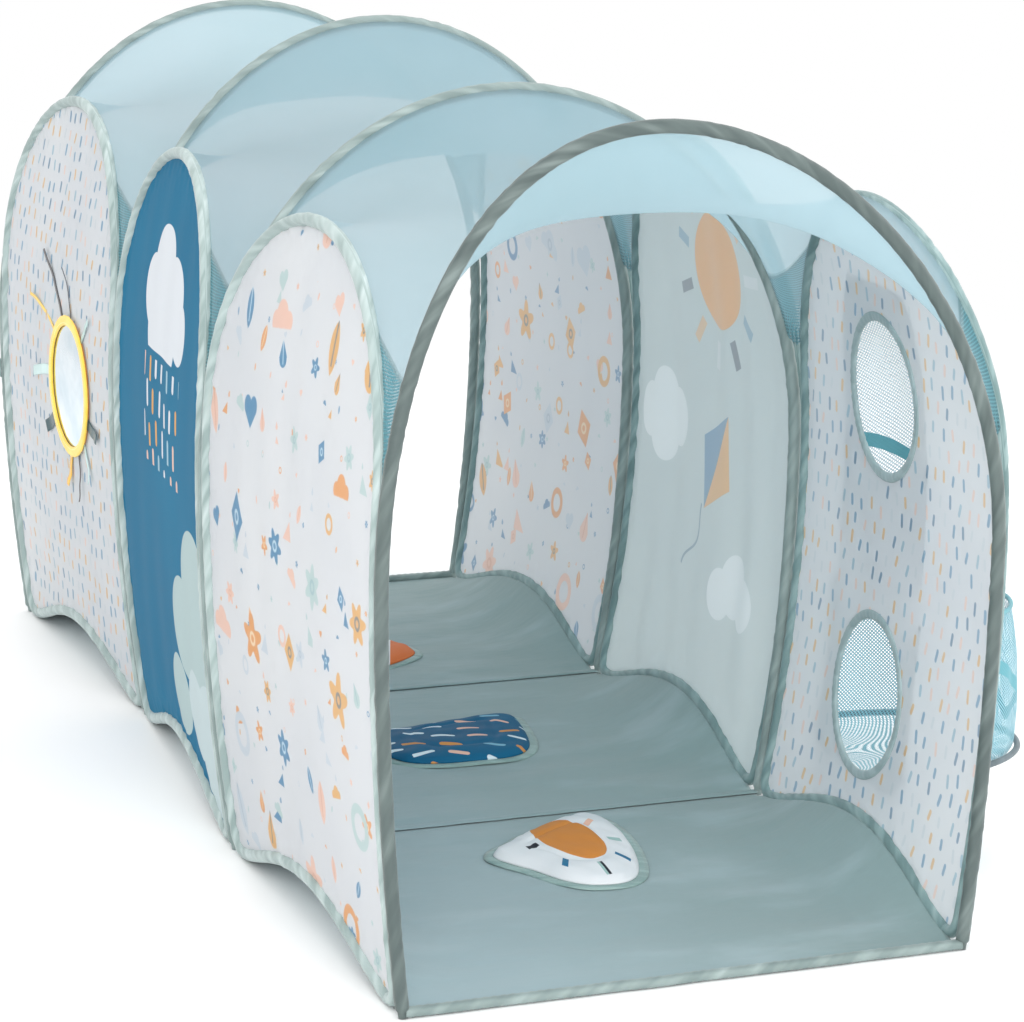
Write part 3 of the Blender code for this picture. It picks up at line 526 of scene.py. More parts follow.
# White cloth with coloured dashes all over
def confettiPaint():
    paint = Paint("confetti cloth", Sheen_Weight=0.1)
    color, cloudy, weave, y, z = whiteGround(paint, tint(229, 229, 230), tint(220, 221, 224))
    mask, pick = dashes(paint, y, z, 0.0285, 0.0265, 3.0, 0.0031, 0.0050, 0.55, 0.10)
    hue = pick.choose((0.0, tint(92, 150, 184)), (0.22, tint(232, 184, 108)), (0.42, tint(240, 206, 190)),
                      (0.58, tint(150, 186, 202)), (0.72, tint(212, 217, 220)), (0.88, tint(74, 126, 162)))
    return finishCloth(paint, mask.blend(color, hue), cloudy, weave, tint(240, 244, 246), 0.42)


floorOxford = floorPaint()
confettiCloth = confettiPaint()


# Generic forms on white, small ones under large ones: each cell picks one of eight (star, leaf, drop, heart,
# ring, cloud, kite, flower).
def motifPaint():
    paint = Paint("motif cloth", Sheen_Weight=0.1)
    color, cloudy, weave, y, z = whiteGround(paint, tint(228, 228, 229), tint(219, 220, 223))
    palette = (tint(234, 158, 68), tint(188, 210, 207), tint(50, 132, 176), tint(243, 198, 176),
               tint(203, 212, 220), tint(234, 176, 84))
    second = (tint(248, 222, 186), tint(150, 186, 190), tint(206, 226, 236), tint(226, 170, 140),
              tint(172, 186, 198), tint(92, 110, 126))
    for wide, high, seed, size in ((0.058, 0.052, 37.0, 0.0052), (0.092, 0.079, 23.0, 0.0170),
                                   (0.146, 0.128, 11.0, 0.0330)):
        across, up, column, row = cells(y, z, wide, high)
        one, two, three = paint.chance(column, row, seed)
        four, five, six = paint.chance(column, row, seed + 5)
        a = (across + (two - 0.5) * 0.3) * (wide / size)
        b = (up + (three - 0.5) * 0.3) * (high / size)
        a, b = rotated(a, b, (four - 0.5) * 1.1)
        grown = five * 0.35 + 0.8
        a, b = a / grown, b / grown
        radius, turn, side = span(a, b), a.math("ARCTAN2", b), abs(a)
        star = radius - ((turn * 5).cosine() * 0.22 + 0.68)
        leaf = span(side + 0.75, b) - 1.18
        drop = (span(a, b + 0.25) - 0.55).least(side * 1.9 + b - 0.95 + (b < -0.2) * 3)
        heart = (span(side - 0.36, b - 0.18) - 0.42).least((side + abs(b + 0.02) - 0.74).most(b - 0.1))
        ring = abs(radius - 0.62) - 0.16
        cloud = (span(side - 0.55, b + 0.1) - 0.36).least(span(a, b - 0.12) - 0.5).most((b + 0.34) * -1)
        kite = side * 1.25 + abs(b) - 0.86
        flower = radius - ((turn * 6).cosine() * 0.16 + 0.62)
        distance, choice = star, six * 8
        for index, form in enumerate((leaf, drop, heart, ring, cloud, kite, flower), 1):
            chosen = choice > index
            distance = distance * (1 - chosen) + form * chosen
        shown = inside(distance, 0.03) * (four.fract() > 0.06)
        core = inside(abs(radius - 0.2) - 0.06, 0.03) * (choice > 5.9).most(choice < 1.0)
        vein = inside(side - 0.06, 0.03) * (choice > 1.0) * (choice < 3.0) * (b > -0.6)
        hue, inner = (one.choose(*((index / len(colors), color) for index, color in enumerate(colors)))
                      for colors in (palette, second))
        color = shown.blend(color, (core.most(vein) * 0.9).blend(hue, inner))
    return finishCloth(paint, color, cloudy, weave, tint(240, 243, 245), 0.4)


# The distance to a set of overlapping discs, each (along, height, radius)
def puffs(y, z, discs):
    distance = None
    for along, height, radius in discs:
        one = span(y - along, z - height) - radius
        distance = one if distance is None else distance.least(one)
    return distance


# Rays round a sun: the distance from each ray's middle line, and a number for each ray
def rays(turn, radius, count, start, change):
    share = turn * (count / (2 * math.pi)) + start
    return abs((share.fract() - 0.5) * radius * (2 * math.pi / count)), (share.floor() * change).fract()


# Deep blue cloth with a white cloud, its rain of coloured dashes, and pale bushes below
def nightPaint():
    paint = Paint("deep blue cloth", Specular_IOR_Level=0.15)
    color, cloudy, weave, y, z = whiteGround(paint, tint(14, 120, 158), tint(8, 110, 148))
    cloud = puffs(y, z, ((-0.075, 0.652, 0.058), (0.000, 0.672, 0.070), (0.065, 0.646, 0.050),
                         (-0.040, 0.604, 0.058), (0.030, 0.602, 0.058), (-0.120, 0.618, 0.040)))
    color = inside(cloud.most((z * -1) + 0.572)).blend(color, tint(228, 233, 238))
    rainMask, pick = dashes(paint, y, z, 0.042, 0.044, 8.0, 0.0056, 0.0110, 0.22)
    hue = pick.choose((0.0, tint(228, 233, 238)), (0.35, tint(228, 172, 100)), (0.6, tint(236, 200, 182)),
                      (0.8, tint(168, 204, 218)))
    rain = rainMask * (z > 0.418) * (z < 0.562) * (abs(y + 0.02) < 0.12)
    color = rain.blend(color, hue)
    bushes = puffs(y, z, ((-0.215, 0.300, 0.085), (-0.120, 0.235, 0.070), (-0.250, 0.170, 0.120),
                          (-0.050, 0.130, 0.055)))
    color = inside(bushes, 0.0008).blend(color, tint(184, 205, 205))
    nearer = puffs(y, z, ((-0.160, 0.130, 0.060), (-0.245, 0.105, 0.085)))
    color = inside(nearer, 0.0008).blend(color, tint(203, 219, 221))
    return finishCloth(paint, color, cloudy, weave, tint(24, 132, 168), 0.14)


# Pale blue cloth with an orange sun, white clouds and a kite.
def dayPaint():
    paint = Paint("pale blue cloth", Sheen_Weight=0.1)
    color, cloudy, weave, y, z = whiteGround(paint, tint(220, 227, 227), tint(210, 219, 221))
    along, up = y + 0.035, z - 0.652
    radius = span(along, up)
    color = inside(radius - 0.080).blend(color, tint(250, 178, 90))
    spoke, tone = rays(along.math("ARCTAN2", up), radius, 11, 0.21, 0.37)
    hue = tone.choose((0.0, tint(100, 118, 138)), (0.25, tint(240, 196, 150)), (0.5, tint(128, 176, 200)),
                      (0.75, tint(230, 233, 236)))
    color = inside((abs(radius - 0.120) - 0.020).most(spoke - 0.0080)).blend(color, hue)
    cloud = puffs(y, z, ((0.125, 0.420, 0.042), (0.175, 0.434, 0.050), (0.225, 0.414, 0.040), (0.175, 0.396, 0.048),
                         (-0.165, 0.215, 0.036), (-0.120, 0.230, 0.044), (-0.075, 0.211, 0.036)))
    color = inside(cloud).blend(color, tint(246, 248, 250))
    ky, kz = y + 0.03, z - 0.385
    ky, kz = rotated(ky, kz, ky * 0 + 0.5)
    kite = abs(ky) * 1.35 + abs(kz) - 0.082
    color = inside(kite).blend(color, tint(78, 150, 190))
    color = inside(kite.most(ky)).blend(color, tint(246, 184, 100))
    tail = abs(ky - ((kz * 60).sine() * 0.010)) - 0.0022
    color = (inside(tail) * (kz < -0.082) * (kz > -0.19)).blend(color, tint(120, 152, 172))
    return finishCloth(paint, color, cloudy, weave, tint(236, 241, 241), 0.44)


motifCloth = motifPaint()
nightCloth = nightPaint()
dayCloth = dayPaint()
print("cloths mixed")


# Knitted net has round holes in a diamond layout: how far a point is from its hole's middle, as a share of the pitch
def holes(u, v, pitch):
    a, b = ((u + v) * (0.7071 / pitch)).fract() - 0.5, ((u - v) * (0.7071 / pitch)).fract() - 0.5
    return span(a, b)


# Net with a sash of teal cloth that hangs in a V: its middle, low point, slope and half width
def netPaint(name, thread, pitch, hole, sash):
    paint = Paint(name, Roughness=0.6)
    u, v, _ = paint.uv().parts()
    gap = holes(u, v, pitch)
    solid = gap.step(hole - 0.03, hole + 0.03)
    strand = gap.step(hole, 0.7)
    shade = paint.noise(paint.place(), 24.0, 2.0)
    color = (shade * 0.2).blend(strand.blend(thread[0], thread[1]), thread[2])
    middle, low, slope, half = sash
    _, y, z = paint.place().parts()
    band = abs(z - abs(y - middle) * slope - low) < half
    paint.set(Base_Color=band.blend(color, tint(92, 160, 172)), Alpha=solid.most(band))
    paint.bump((strand, 0.0005, 0.4))
    return paint


# Ribbed tape in two tones
def plainTape(name, base, dark, pitch=0.0012, roughness=0.55):
    paint = Paint(name, Roughness=roughness, Sheen_Weight=0.2)
    place = paint.place()
    _, y, z = place.parts()
    ribs = ((y + z) * (2 * math.pi / pitch)).sine() * 0.5 + 0.5
    cloudy = paint.noise(place, 26.0, 3.0)
    color = cloudy.step(0.3, 0.7).blend(dark, base)
    color = (ribs * 0.12).blend(color, dark)
    paint.set(Base_Color=color, Roughness=cloudy * 0.2 + roughness - 0.1)
    paint.bump((cloudy, 0.0015, 0.3), (ribs, 0.00015, 0.5))
    return paint


tealTape = plainTape("teal tape", tint(96, 166, 176), tint(70, 136, 148))
darkSleeve = plainTape("dark rim sleeve", tint(104, 120, 126), tint(72, 88, 94))


# Drawn steel wire, faintly stained
def steelPaint():
    paint = Paint("spring steel", Metallic=1.0)
    place = paint.place()
    drawn = paint.noise(place, 300.0, 2.0)
    stain = paint.noise(place, 18.0, 4.0)
    color = stain.step(0.4, 0.75).blend(tint(186, 188, 190), tint(150, 150, 148))
    paint.set(Base_Color=color, Roughness=drawn * 0.15 + 0.22)
    paint.bump((drawn, 0.0001, 0.3))
    return paint


springSteel = steelPaint()
for nodeName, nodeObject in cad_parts.items():
    if nodeName.startswith(("hoop_wire", "panel_wire", "wire_ferrule")) or nodeName == "basket_rim_wire":
        nodeObject.data.materials.clear()
        nodeObject.data.materials.append(springSteel.material)


# Sleeves on the hoops and panels
sleeveCut = {"step": 0.0036, "sides": 18, "pucker": 0.00042, "calmLength": 0.31, "taper": 0.01,
             "bends": ((1.4, 0.11), (0.9, 0.047)),
             "puckers": ((0.019, 1), (0.031, -1), (0.043, 2), (0.026, 1), (0.067, 1))}


# A tube along a line. Its radius swells in slanting puckers: waves that run round and along at once.
def puckeredTube(name, line, marks, out, across, radius, seed, closed):
    draw = np.random.default_rng(seed)
    along, turns = marks[:, None], around(sleeveCut["sides"])[None, :]
    turned = 2 * math.pi * along
    relief = 0
    for length, lobes in sleeveCut["puckers"]:
        drift = draw.uniform(0, 2 * math.pi, 3)
        bend = sum(size * np.cos(turned / wave + start) for (size, wave), start in zip(sleeveCut["bends"], drift))
        relief = relief + np.cos(turned / length + lobes * turns + bend + drift[2])
    calm = 0.6 + 0.4 * np.cos(turned / sleeveCut["calmLength"] + draw.uniform(0, 6))
    thick = radius + sleeveCut["pucker"] * calm * (relief / 2.2)
    if not closed:
        thick = thick * np.clip(np.minimum(along, marks[-1] - along) / sleeveCut["taper"], 0.7, 1)
    points = carried(line, out, across, thick * np.cos(turns), thick * np.sin(turns))
    uv = spread(along, (turns - math.pi) * radius)
    return surface(name, points, uv, closeRows=closed, closeColumns=True, caps=not closed)


for hoop in (1, 2, 3, 4):
    line, marks = evenly(hoopLine(hoop), sleeveCut["step"])
    ahead = unit(np.gradient(line, axis=0))
    across = np.tile((0.0, 1.0, 0.0), (len(line), 1))
    out = unit(np.cross(ahead, across))
    tube = puckeredTube(f"hoopSleeve{hoop}", line, marks, out, across, tunnel["sleeve"], 40 + hoop, False)
    dress(tube, darkBinding if hoop == 1 else sageBinding, f"hoop_{hoop}", "sage_binding", f"hoop_sleeve_{hoop}")


for bay in (1, 2, 3):
    for word, side in sides.items():
        flat, marks = evenly(panelOutline(), sleeveCut["step"], closed=True)
        line, out, square = panelFrames(bay, side, bayMiddle(bay) + flat[:, 0], flat[:, 1], outFrom(flat))
        tube = puckeredTube(f"panelSleeve_{word}{bay}", line, marks, out, square, tunnel["sleeve"] - 0.0002,
                            60 + bay + 5 * side, True)
        # The right panels' sleeves take the binding whose darker colour is painted shade.
        dress(tube, paleBinding if word == "left" else shadedSageBinding, f"panel_{word}_{bay}", "sage_binding",
              f"panel_sleeve_{word}_{bay}")
print("sleeves sewn")


# Side panels
panelCut = {"step": 0.0052, "inset": -0.0035, "level": 0.28, "wave": 0.0016, "fold": 0.0009, "dayFold": 0.0034,
            "pucker": 0.0011, "thickness": 0.0011, "cutShare": 0.94}
windows = {"radius": 0.098, "y": 0.040 - tunnel["pitch"], "upper": 0.5815, "lower": 0.207}
mirrorCut = {"y": 0.557, "z": 0.430, "radius": 0.088, "ringOut": 0.103, "backing": 0.100, "thickness": 0.0014,
             "gap": 0.0006, "rim": 0.0004, "dome": 0.0016, "ringMiddle": 0.00235, "ringHalf": 0.0022}


# Rows of (along, height) points that fill the outline from its arched bottom to its crown, levelling out on the way.
def panelGrid(step):
    line = panelOutline(panelCut["inset"])
    bottomCount = outlineCut["bottom"]
    low = line[:bottomCount]
    right, _ = evenly(line[bottomCount - 1:int(np.argmax(line[:, 1])) + 1], step)
    right[-1, 0] = 0
    share = np.linspace(0, 1, round(2 * halfPanel / step) + 1)
    lowShare = (low[:, 0] - low[0, 0]) / (low[-1, 0] - low[0, 0])
    lift = np.interp(share, lowShare, low[:, 1]) - low[0, 1]
    fade = np.maximum(0, 1 - (right[:, 1] - low[0, 1]) / (panelCut["level"] - low[0, 1]))
    return spread(right[:, :1] * (2 * share - 1), right[:, 1:] + fade[:, None] * lift)


# The flat piece that a cloth is cut from, as its two lengths and its area, from the unwrinkled grid
def cutSize(points):
    rows = np.linalg.norm(np.diff(points, axis=1), axis=2).sum(1).max()
    columns = np.linalg.norm(np.diff(points, axis=0), axis=2).sum(0).max()
    first = np.cross(points[1:, :-1] - points[:-1, :-1], points[:-1, 1:] - points[:-1, :-1])
    second = np.cross(points[1:, :-1] - points[1:, 1:], points[:-1, 1:] - points[1:, 1:])
    area = (np.linalg.norm(first, axis=2) + np.linalg.norm(second, axis=2)).sum() / 2
    return (rows, columns), min(area, rows * columns)


# How far a place on the first right panel is from the nearer window's middle
def toWindow(y, z):
    return np.minimum(*(np.hypot(y - windows["y"], z - windows[key]) for key in ("upper", "lower")))


panelLooks = {
    "left": ((motifCloth, "white_cloth"), (nightCloth, "blue_cloth"), (confettiCloth, "white_cloth")),
    "right": ((confettiCloth, "white_cloth"), (dayCloth, "pale_cloth"), (motifCloth, "white_cloth")),
}
flatGrid = panelGrid(panelCut["step"])
fromEdge = edgeDistance(flatGrid, panelOutline())
calm = ease(fromEdge, 0.008, 0.04)
for bay in (1, 2, 3):
    for word, side in sides.items():
        y, z = bayMiddle(bay) + flatGrid[..., 0], flatGrid[..., 1]
        points = panelAt(bay, side, y, z)
        flat, area = cutSize(points)
        seed = 100 + 10 * bay + side
        fold = panelCut["dayFold"] if (bay, word) == (2, "right") else panelCut["fold"]
        broad = swell(points, seed, 0.34, stretch=(0, 1, 0.6)) * panelCut["wave"]
        folds = swell(points, seed + 3, 0.075, stretch=(0, 1, 0.22)) * fold
        pucker = swell(points, seed + 6, 0.020, 12) * panelCut["pucker"] * np.exp(-fromEdge / 0.018)
        trim, keep = 1, None
        if (bay, word) == (1, "right"):
            trim = ease(toWindow(y, z), windows["radius"] + 0.004, windows["radius"] + 0.05)
            keep = toWindow((y[:-1, :-1] + y[1:, 1:]) / 2, (z[:-1, :-1] + z[1:, 1:]) / 2) > windows["radius"] + 0.0015
            area *= panelCut["cutShare"]
        if (bay, word) == (3, "left"):
            trim = ease(np.hypot(y - mirrorCut["y"], z - mirrorCut["z"]), 0.10, 0.16)
        lift = (broad * calm + folds * calm + pucker) * trim
        points = points + np.array((side, 0, 0)) * lift[..., None]
        cloth = surface(f"panelCloth_{word}{bay}", points, spread(y, z), keep=keep, weld=True, face=(side, 0, 0))
        thicken(cloth, panelCut["thickness"])
        paint, slotName = panelLooks[word][bay - 1]
        dress(cloth, paint, f"panel_{word}_{bay}", slotName, f"panel_cloth_{word}_{bay}")
print("panels stretched")


# Roofs: a taut sheet between two hoops and two panel arches, in which every inner point settles among its
# neighbours, drawn more by those across the tunnel, worked out coarse to fine.
roofCut = {"wave": 0.0022, "pucker": 0.0016, "thickness": 0.0009, "gusset": 0.155, "across": 0.72, "levels": 4,
           "settling": 500, "netPitch": 0.0034, "hoopTuck": 0.001, "archTuck": 0.003, "archHeight": 0.26}


# A roof's four edges, just inside the two hoops' sleeves and over the two panels' arches
def roofEdges(bay, rows, columns):
    ends = []
    for hoop, way in ((bay, 1), (bay + 1, -1)):
        first = math.asin((tunnel["split"] - tunnel["waistHeight"]) / archRise(hoop))
        x, z = archAt(hoop, np.linspace(first, math.pi - first, columns))
        y = hoopY(hoop) + way * (tunnel["sleeve"] - roofCut["hoopTuck"])
        ends.append(spread(x + tunnel["shifts"][hoop - 1], y, z))
    first = math.asin((tunnel["split"] - tunnel["spring"]) / panelRise)
    flat = panelArch(np.linspace(math.pi - first, first, rows))
    beyond = (tunnel["sleeve"] - roofCut["archTuck"]) / roofCut["archHeight"]
    flat *= 1 + beyond
    flat[:, 1] -= beyond * tunnel["spring"]
    return *ends, *(panelAt(bay, side, bayMiddle(bay) + flat[:, 0], flat[:, 1], 0.002) for side in (-1, 1))


def tautSheet(bay):
    rows, columns = 9, 13
    sheet = None
    for level in range(roofCut["levels"]):
        front, rear, left, right = roofEdges(bay, rows, columns)
        if sheet is None:
            share = np.linspace(0, 1, rows)[:, None, None]
            sheet = front[None] * (1 - share) + rear[None] * share
        else:
            finer = np.zeros((rows, columns, 3))
            finer[::2, ::2] = sheet
            finer[1::2, ::2] = (sheet[:-1] + sheet[1:]) / 2
            finer[:, 1::2] = (finer[:, :-2:2] + finer[:, 2::2]) / 2
            sheet = finer
        sheet[0], sheet[-1], sheet[:, 0], sheet[:, -1] = front, rear, left, right
        for corner, edge in (((0, 0), front[0]), ((0, -1), front[-1]), ((-1, 0), rear[0]), ((-1, -1), rear[-1])):
            sheet[corner] = (edge + sheet[corner]) / 2
        for _ in range(roofCut["settling"]):
            along, across = sheet[:-2, 1:-1] + sheet[2:, 1:-1], sheet[1:-1, :-2] + sheet[1:-1, 2:]
            sheet[1:-1, 1:-1] = (along + (across - along) * roofCut["across"]) / 2
        if level < roofCut["levels"] - 1:
            rows, columns = 2 * rows - 1, 2 * columns - 1
    return sheet


# Thin sky-blue nylon. Up its low corners, between the hoop and the panel's arch, runs a strip of teal net.
def roofPaint():
    paint = Paint("sky nylon with net gussets", Roughness=0.42, Sheen_Weight=0.15)
    place = paint.place()
    u, v, _ = paint.uv().parts()
    cloudy = paint.noise(place, 3.2, 4.0)
    fine = paint.noise(place, 70.0, 2.0)
    weave = paint.weave(u, v, 0.0009)
    color = cloudy.step(0.3, 0.7).blend(tint(186, 212, 219), tint(202, 222, 229))
    color = (fine * 0.06).blend(color, tint(186, 214, 222))
    gusset = paint.attribute("gusset")
    net = gusset > 0.5
    gap = holes(u, v, roofCut["netPitch"]).step(0.31, 0.37)
    color = net.blend(color, tint(88, 150, 160))
    edge = abs(gusset - 0.5) < 0.035
    color = edge.blend(color, tint(128, 158, 162))
    cloth = (1 - net * (1 - edge)) * 0.37
    paint.set(Base_Color=color, Roughness=cloudy * 0.15 + 0.35, Alpha=cloth.most(gap * net))
    paint.bump((cloudy, 0.003, 0.15), (weave, 0.0001, 0.25))
    paint.glowing(tint(188, 214, 222), 0.38)
    return paint


# Bakes a cloth's placement into its mesh.
def hangBetween(piece):
    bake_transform(piece)


roofCloth = roofPaint()
for bay in (1, 2, 3):
    sheet = tautSheet(bay)
    (rows, columns), area = cutSize(sheet)
    normals = gridNormals(sheet)
    row, column = np.meshgrid(np.linspace(0, 1, sheet.shape[0]), np.linspace(0, 1, sheet.shape[1]), indexing="ij")
    fromHoop, fromPanel = np.minimum(row, 1 - row), np.minimum(column, 1 - column)
    calm = ease(np.minimum(fromHoop, fromPanel * 1.6), 0, 0.16)
    broad = swell(sheet, 200 + bay, 0.3) * roofCut["wave"]
    folds = swell(sheet, 210 + bay, 0.030, 12, stretch=(1, 0.2, 1)) * roofCut["pucker"] * np.exp(-fromHoop / 0.09)
    sheet = sheet + normals * ((broad + folds * 0.8) * calm)[..., None]
    roof = surface(f"roofCloth{bay}", sheet, spread(column * rows, row * columns), face=(0, 0, 1))
    gusset = roof.data.attributes.new("gusset", "FLOAT", "POINT")
    corner = np.clip(1 - fromPanel * rows / roofCut["gusset"], 0, 1) * 1.3 - fromHoop * columns * 4.2
    gusset.data.foreach_set("value", corner.astype(np.float32).ravel())
    thicken(roof, roofCut["thickness"])
    dress(roof, roofCloth, None, "sky_cloth", f"roof_{bay}")
    hangBetween(roof)
print("roofs hung")


# Floors
floorCut = {"wave": 0.0016, "thickness": 0.0012, "trim": 0.001, "level": 0.014, "tuck": 0.004}


# Level in the middle, rising by a square law to the panels' bottoms, and down on the ground at the hoops.
def floorGrid(bay, step=0.008):
    half = tunnel["pitch"] / 2 - floorCut["trim"]
    along = np.linspace(-half, half, round(2 * half / step) + 1)
    archEnd, levelStart = halfPanel - tunnel["corner"], tunnel["pitch"] / 2 - floorCut["level"]
    near = np.minimum(np.abs(along), archEnd)
    fall = np.clip((np.abs(along) - near) / (levelStart - archEnd), 0, 1)
    height = bottomEdge(near) * (1 - fall)
    y = bayMiddle(bay) + along
    shift = between(tunnel["shifts"], bay, y)
    share = np.linspace(0, 1, 20)
    sidesOut = []
    for side in (-1, 1):
        edge = panelAt(bay, side, y, height, -tunnel["sleeve"] + floorCut["tuck"])[:, 0]
        flat = shift + side * tunnel["floorFlat"]
        x = flat[:, None] + (edge - flat)[:, None] * share
        sidesOut.append(spread(x, y[:, None], height[:, None] * share ** 2))
    x = shift[:, None] + tunnel["floorFlat"] * np.linspace(-1, 1, 58)[1:-1]
    return np.concatenate((sidesOut[0][:, ::-1], spread(x, y[:, None], 0.0), sidesOut[1]), 1)


for bay in (1, 2, 3):
    grid = floorGrid(bay)
    flat, area = cutSize(grid)
    fromHoop = 1 - np.abs(grid[..., 1] - bayMiddle(bay)) / (tunnel["pitch"] / 2)
    column = np.arange(grid.shape[1])
    calm = ease(fromHoop, 0, 0.12) * ease(np.minimum(column, column[::-1]), 0, 8)
    relief = swell(grid, 300 + bay, 0.20, stretch=(1, 1, 0)) + 0.5 * swell(grid, 310 + bay, 0.07, stretch=(0.5, 1, 0))
    grid[..., 2] += floorCut["thickness"] + floorCut["wave"] * calm * np.maximum(relief + 0.6, 0)
    floor = surface(f"floorCloth{bay}", grid, grid[..., :2], face=(0, 0, 1))
    thicken(floor, floorCut["thickness"])
    dress(floor, floorOxford, None, "floor_cloth", f"floor_{bay}")
    hangBetween(floor)
print("floors laid")


# Hems at the mouths and tapes over the floor seams: a flattened tube from foot to foot. A higher edge power thins
# its sides.
def hem(name, hoop, low, depth, height, seed, edge=0.7):
    reach = tunnel["bases"][hoop - 1] - tunnel["sleeve"] + 0.006
    across = np.linspace(-reach, reach, 220)[:, None]
    turns = around(16)
    line = spread(across + tunnel["shifts"][hoop - 1], hoopY(hoop), low + height / 2)
    wobble = swell(line, seed, 0.05) * 0.0006
    flat, tall = squarer(np.cos(turns), 0.6) * depth / 2, squarer(np.sin(turns), edge) * height / 2
    puckers = 1 + 0.06 * np.cos(2 * math.pi * across / 0.011 + turns * 2)
    points = line + spread(0.0, flat * puckers + wobble, tall * puckers)
    return surface(name, points, spread(across, (turns - math.pi / 2) * depth / 4), closeColumns=True, caps=True)


for name, hoop, node in (("frontHem", 1, "front_hem"), ("rearHem", 4, "rear_hem")):
    dress(hem(name, hoop, 0.0003, 0.014, 0.0105, 400 + hoop), sageBinding, f"hoop_{hoop}", "sage_binding", node)
for hoop in (2, 3):
    dress(hem(f"seamTape{hoop}", hoop, 0.0021, 0.0145, 0.0032, 410 + hoop, 1.7), floorOxford, f"hoop_{hoop}",
          "floor_cloth", f"floor_seam_tape_{hoop}")


# Ball windows: bindings, chute and basket
bindingCut = {"width": 0.012, "thickness": 0.006, "radius": 0.099, "steps": 300}


# A flat oval section carried round the window on the bowed panel, with small gathers on its inner side.
def windowBinding(name, height, node):
    turns, section = around(bindingCut["steps"]), around(16)
    away = np.stack((np.cos(turns), np.sin(turns)), 1)
    y, z = windows["y"] + bindingCut["radius"] * away[:, 0], height + bindingCut["radius"] * away[:, 1]
    here, out, square = panelFrames(1, 1, y, z, away)
    gather = 1 + 0.10 * np.cos(turns[:, None] * 58 + 2 * section) + 0.06 * np.cos(turns[:, None] * 37 + 1)
    wide = squarer(np.cos(section), 0.75) * bindingCut["width"] / 2
    thick = squarer(np.sin(section), 0.85) * bindingCut["thickness"] / 2 * gather
    points = carried(here, out, square, wide[None], thick)
    uv = spread(turns[:, None] * bindingCut["radius"], (section - math.pi / 2) * bindingCut["thickness"] / 2)
    piece = surface(name, points, uv, closeRows=True, closeColumns=True)
    dress(piece, windowTape, "panel_right_1", "sage_binding", node)


windowBinding("windowBindingUpper", windows["upper"], "window_binding_upper")
windowBinding("windowBindingLower", windows["lower"], "window_binding_lower")

netCut = {
    "chute": {"half": 0.124, "top": 0.722, "bottom": 0.372, "depth": 0.112, "folds": 0.0042, "seed": 501, "shares": (
        (0, 0.04, 0.72), (0.06, 0.36, 0.82), (0.13, 0.58, 0.91), (0.22, 0.78, 0.97), (0.34, 0.9, 1), (0.46, 0.96, 1),
        (0.59, 0.99, 1), (0.73, 1, 1), (0.87, 1, 1), (1, 1, 1))},
    "basket": {"half": 0.136, "top": 0.318, "bottom": 0.102, "depth": 0.200, "folds": 0.002, "seed": 502, "shares": (
        (0, 0.86, 0.94), (0.288, 0.94, 0.96), (0.577, 0.985, 0.985), (0.824, 1, 1), (0.894, 0.94, 0.95),
        (0.965, 0.72, 0.84), (0.985, 0.40, 0.72), (1, 0.03, 0.62))},
    "pitch": 0.0034, "roundness": 0.8,
}
rimCut = {"height": 0.140, "radius": 0.004, "netThickness": 0.0014, "gap": 0.0006, "hinge": 0.3587, "keep": 0.34}


# A bag that bulges out from the panel: each level is a half oval, and its shares say how deep and wide it is.
def netBag(cut):
    shares = np.array(cut["shares"])
    down = np.linspace(0, 1, 90)
    deep, wide = (np.interp(down, shares[:, 0], shares[:, column]) for column in (1, 2))
    smooth = np.ones(7) / 7
    deep[3:-3], wide[3:-3] = np.convolve(deep, smooth, "valid"), np.convolve(wide, smooth, "valid")
    turns = np.linspace(0, math.pi, 110)
    y = windows["y"] - cut["half"] * wide[:, None] * np.cos(turns)
    z = np.broadcast_to((cut["top"] - (cut["top"] - cut["bottom"]) * down)[:, None], y.shape)
    bulge = cut["depth"] * deep[:, None] * np.sin(turns) ** netCut["roundness"]
    flat = panelAt(1, 1, y, z, tunnel["trimOff"] + bulge)
    waves = swell(flat, cut["seed"], 0.03, 10, stretch=(0.3, 1, 0.15)) * cut["folds"] * np.sin(turns) ** 0.7
    points = panelAt(1, 1, y, z, tunnel["trimOff"] + bulge + waves)
    across = np.cumsum(np.pad(np.linalg.norm(np.diff(flat, axis=1), axis=2), ((0, 0), (1, 0))), 1)
    fall = np.cumsum(np.pad(np.linalg.norm(np.diff(flat, axis=0), axis=2), ((1, 0), (0, 0))), 0)
    return points, flat, np.stack((across - across[:, 55:56], fall), -1)


# A net bag on the first right panel, from its own settings
def hangBag(word, thread, hole, low, slope):
    points, grid, uv = netBag(netCut[word])
    net = surface(f"{word}Net", points, uv, face=(1, 0, 0))
    paint = netPaint(f"{word} net", thread, netCut["pitch"], hole, (windows["y"], low, slope, 0.009))
    dress(net, paint, "panel_right_1", "net", f"{word}_net")
    return net


# Gives a piece its own copy of its mesh.
def foldUp(piece):
    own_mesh(piece)


hangBag("chute", (tint(190, 212, 220), tint(226, 236, 240), tint(150, 190, 202)), 0.34, 0.405, 0.80)
foldUp(hangBag("basket", (tint(112, 174, 190), tint(164, 208, 218), tint(98, 160, 178)), 0.33, 0.165, 0.90))


# A round cord or tape edge along a line
def smallTube(name, line, radius, gather=0.08):
    line, marks = evenly(line, 0.003)
    ahead = unit(np.gradient(line, axis=0))
    out = unit(np.cross(ahead, (0.0, 0.0, 1.0)))
    turns = around(10)
    thick = radius * (1 + gather * np.cos(2 * math.pi * marks[:, None] / 0.008 + turns))
    points = carried(line, out, unit(np.cross(out, ahead)), thick * np.cos(turns), thick * np.sin(turns))
    return surface(name, points, spread(marks[:, None], turns * radius), closeColumns=True, caps=True)


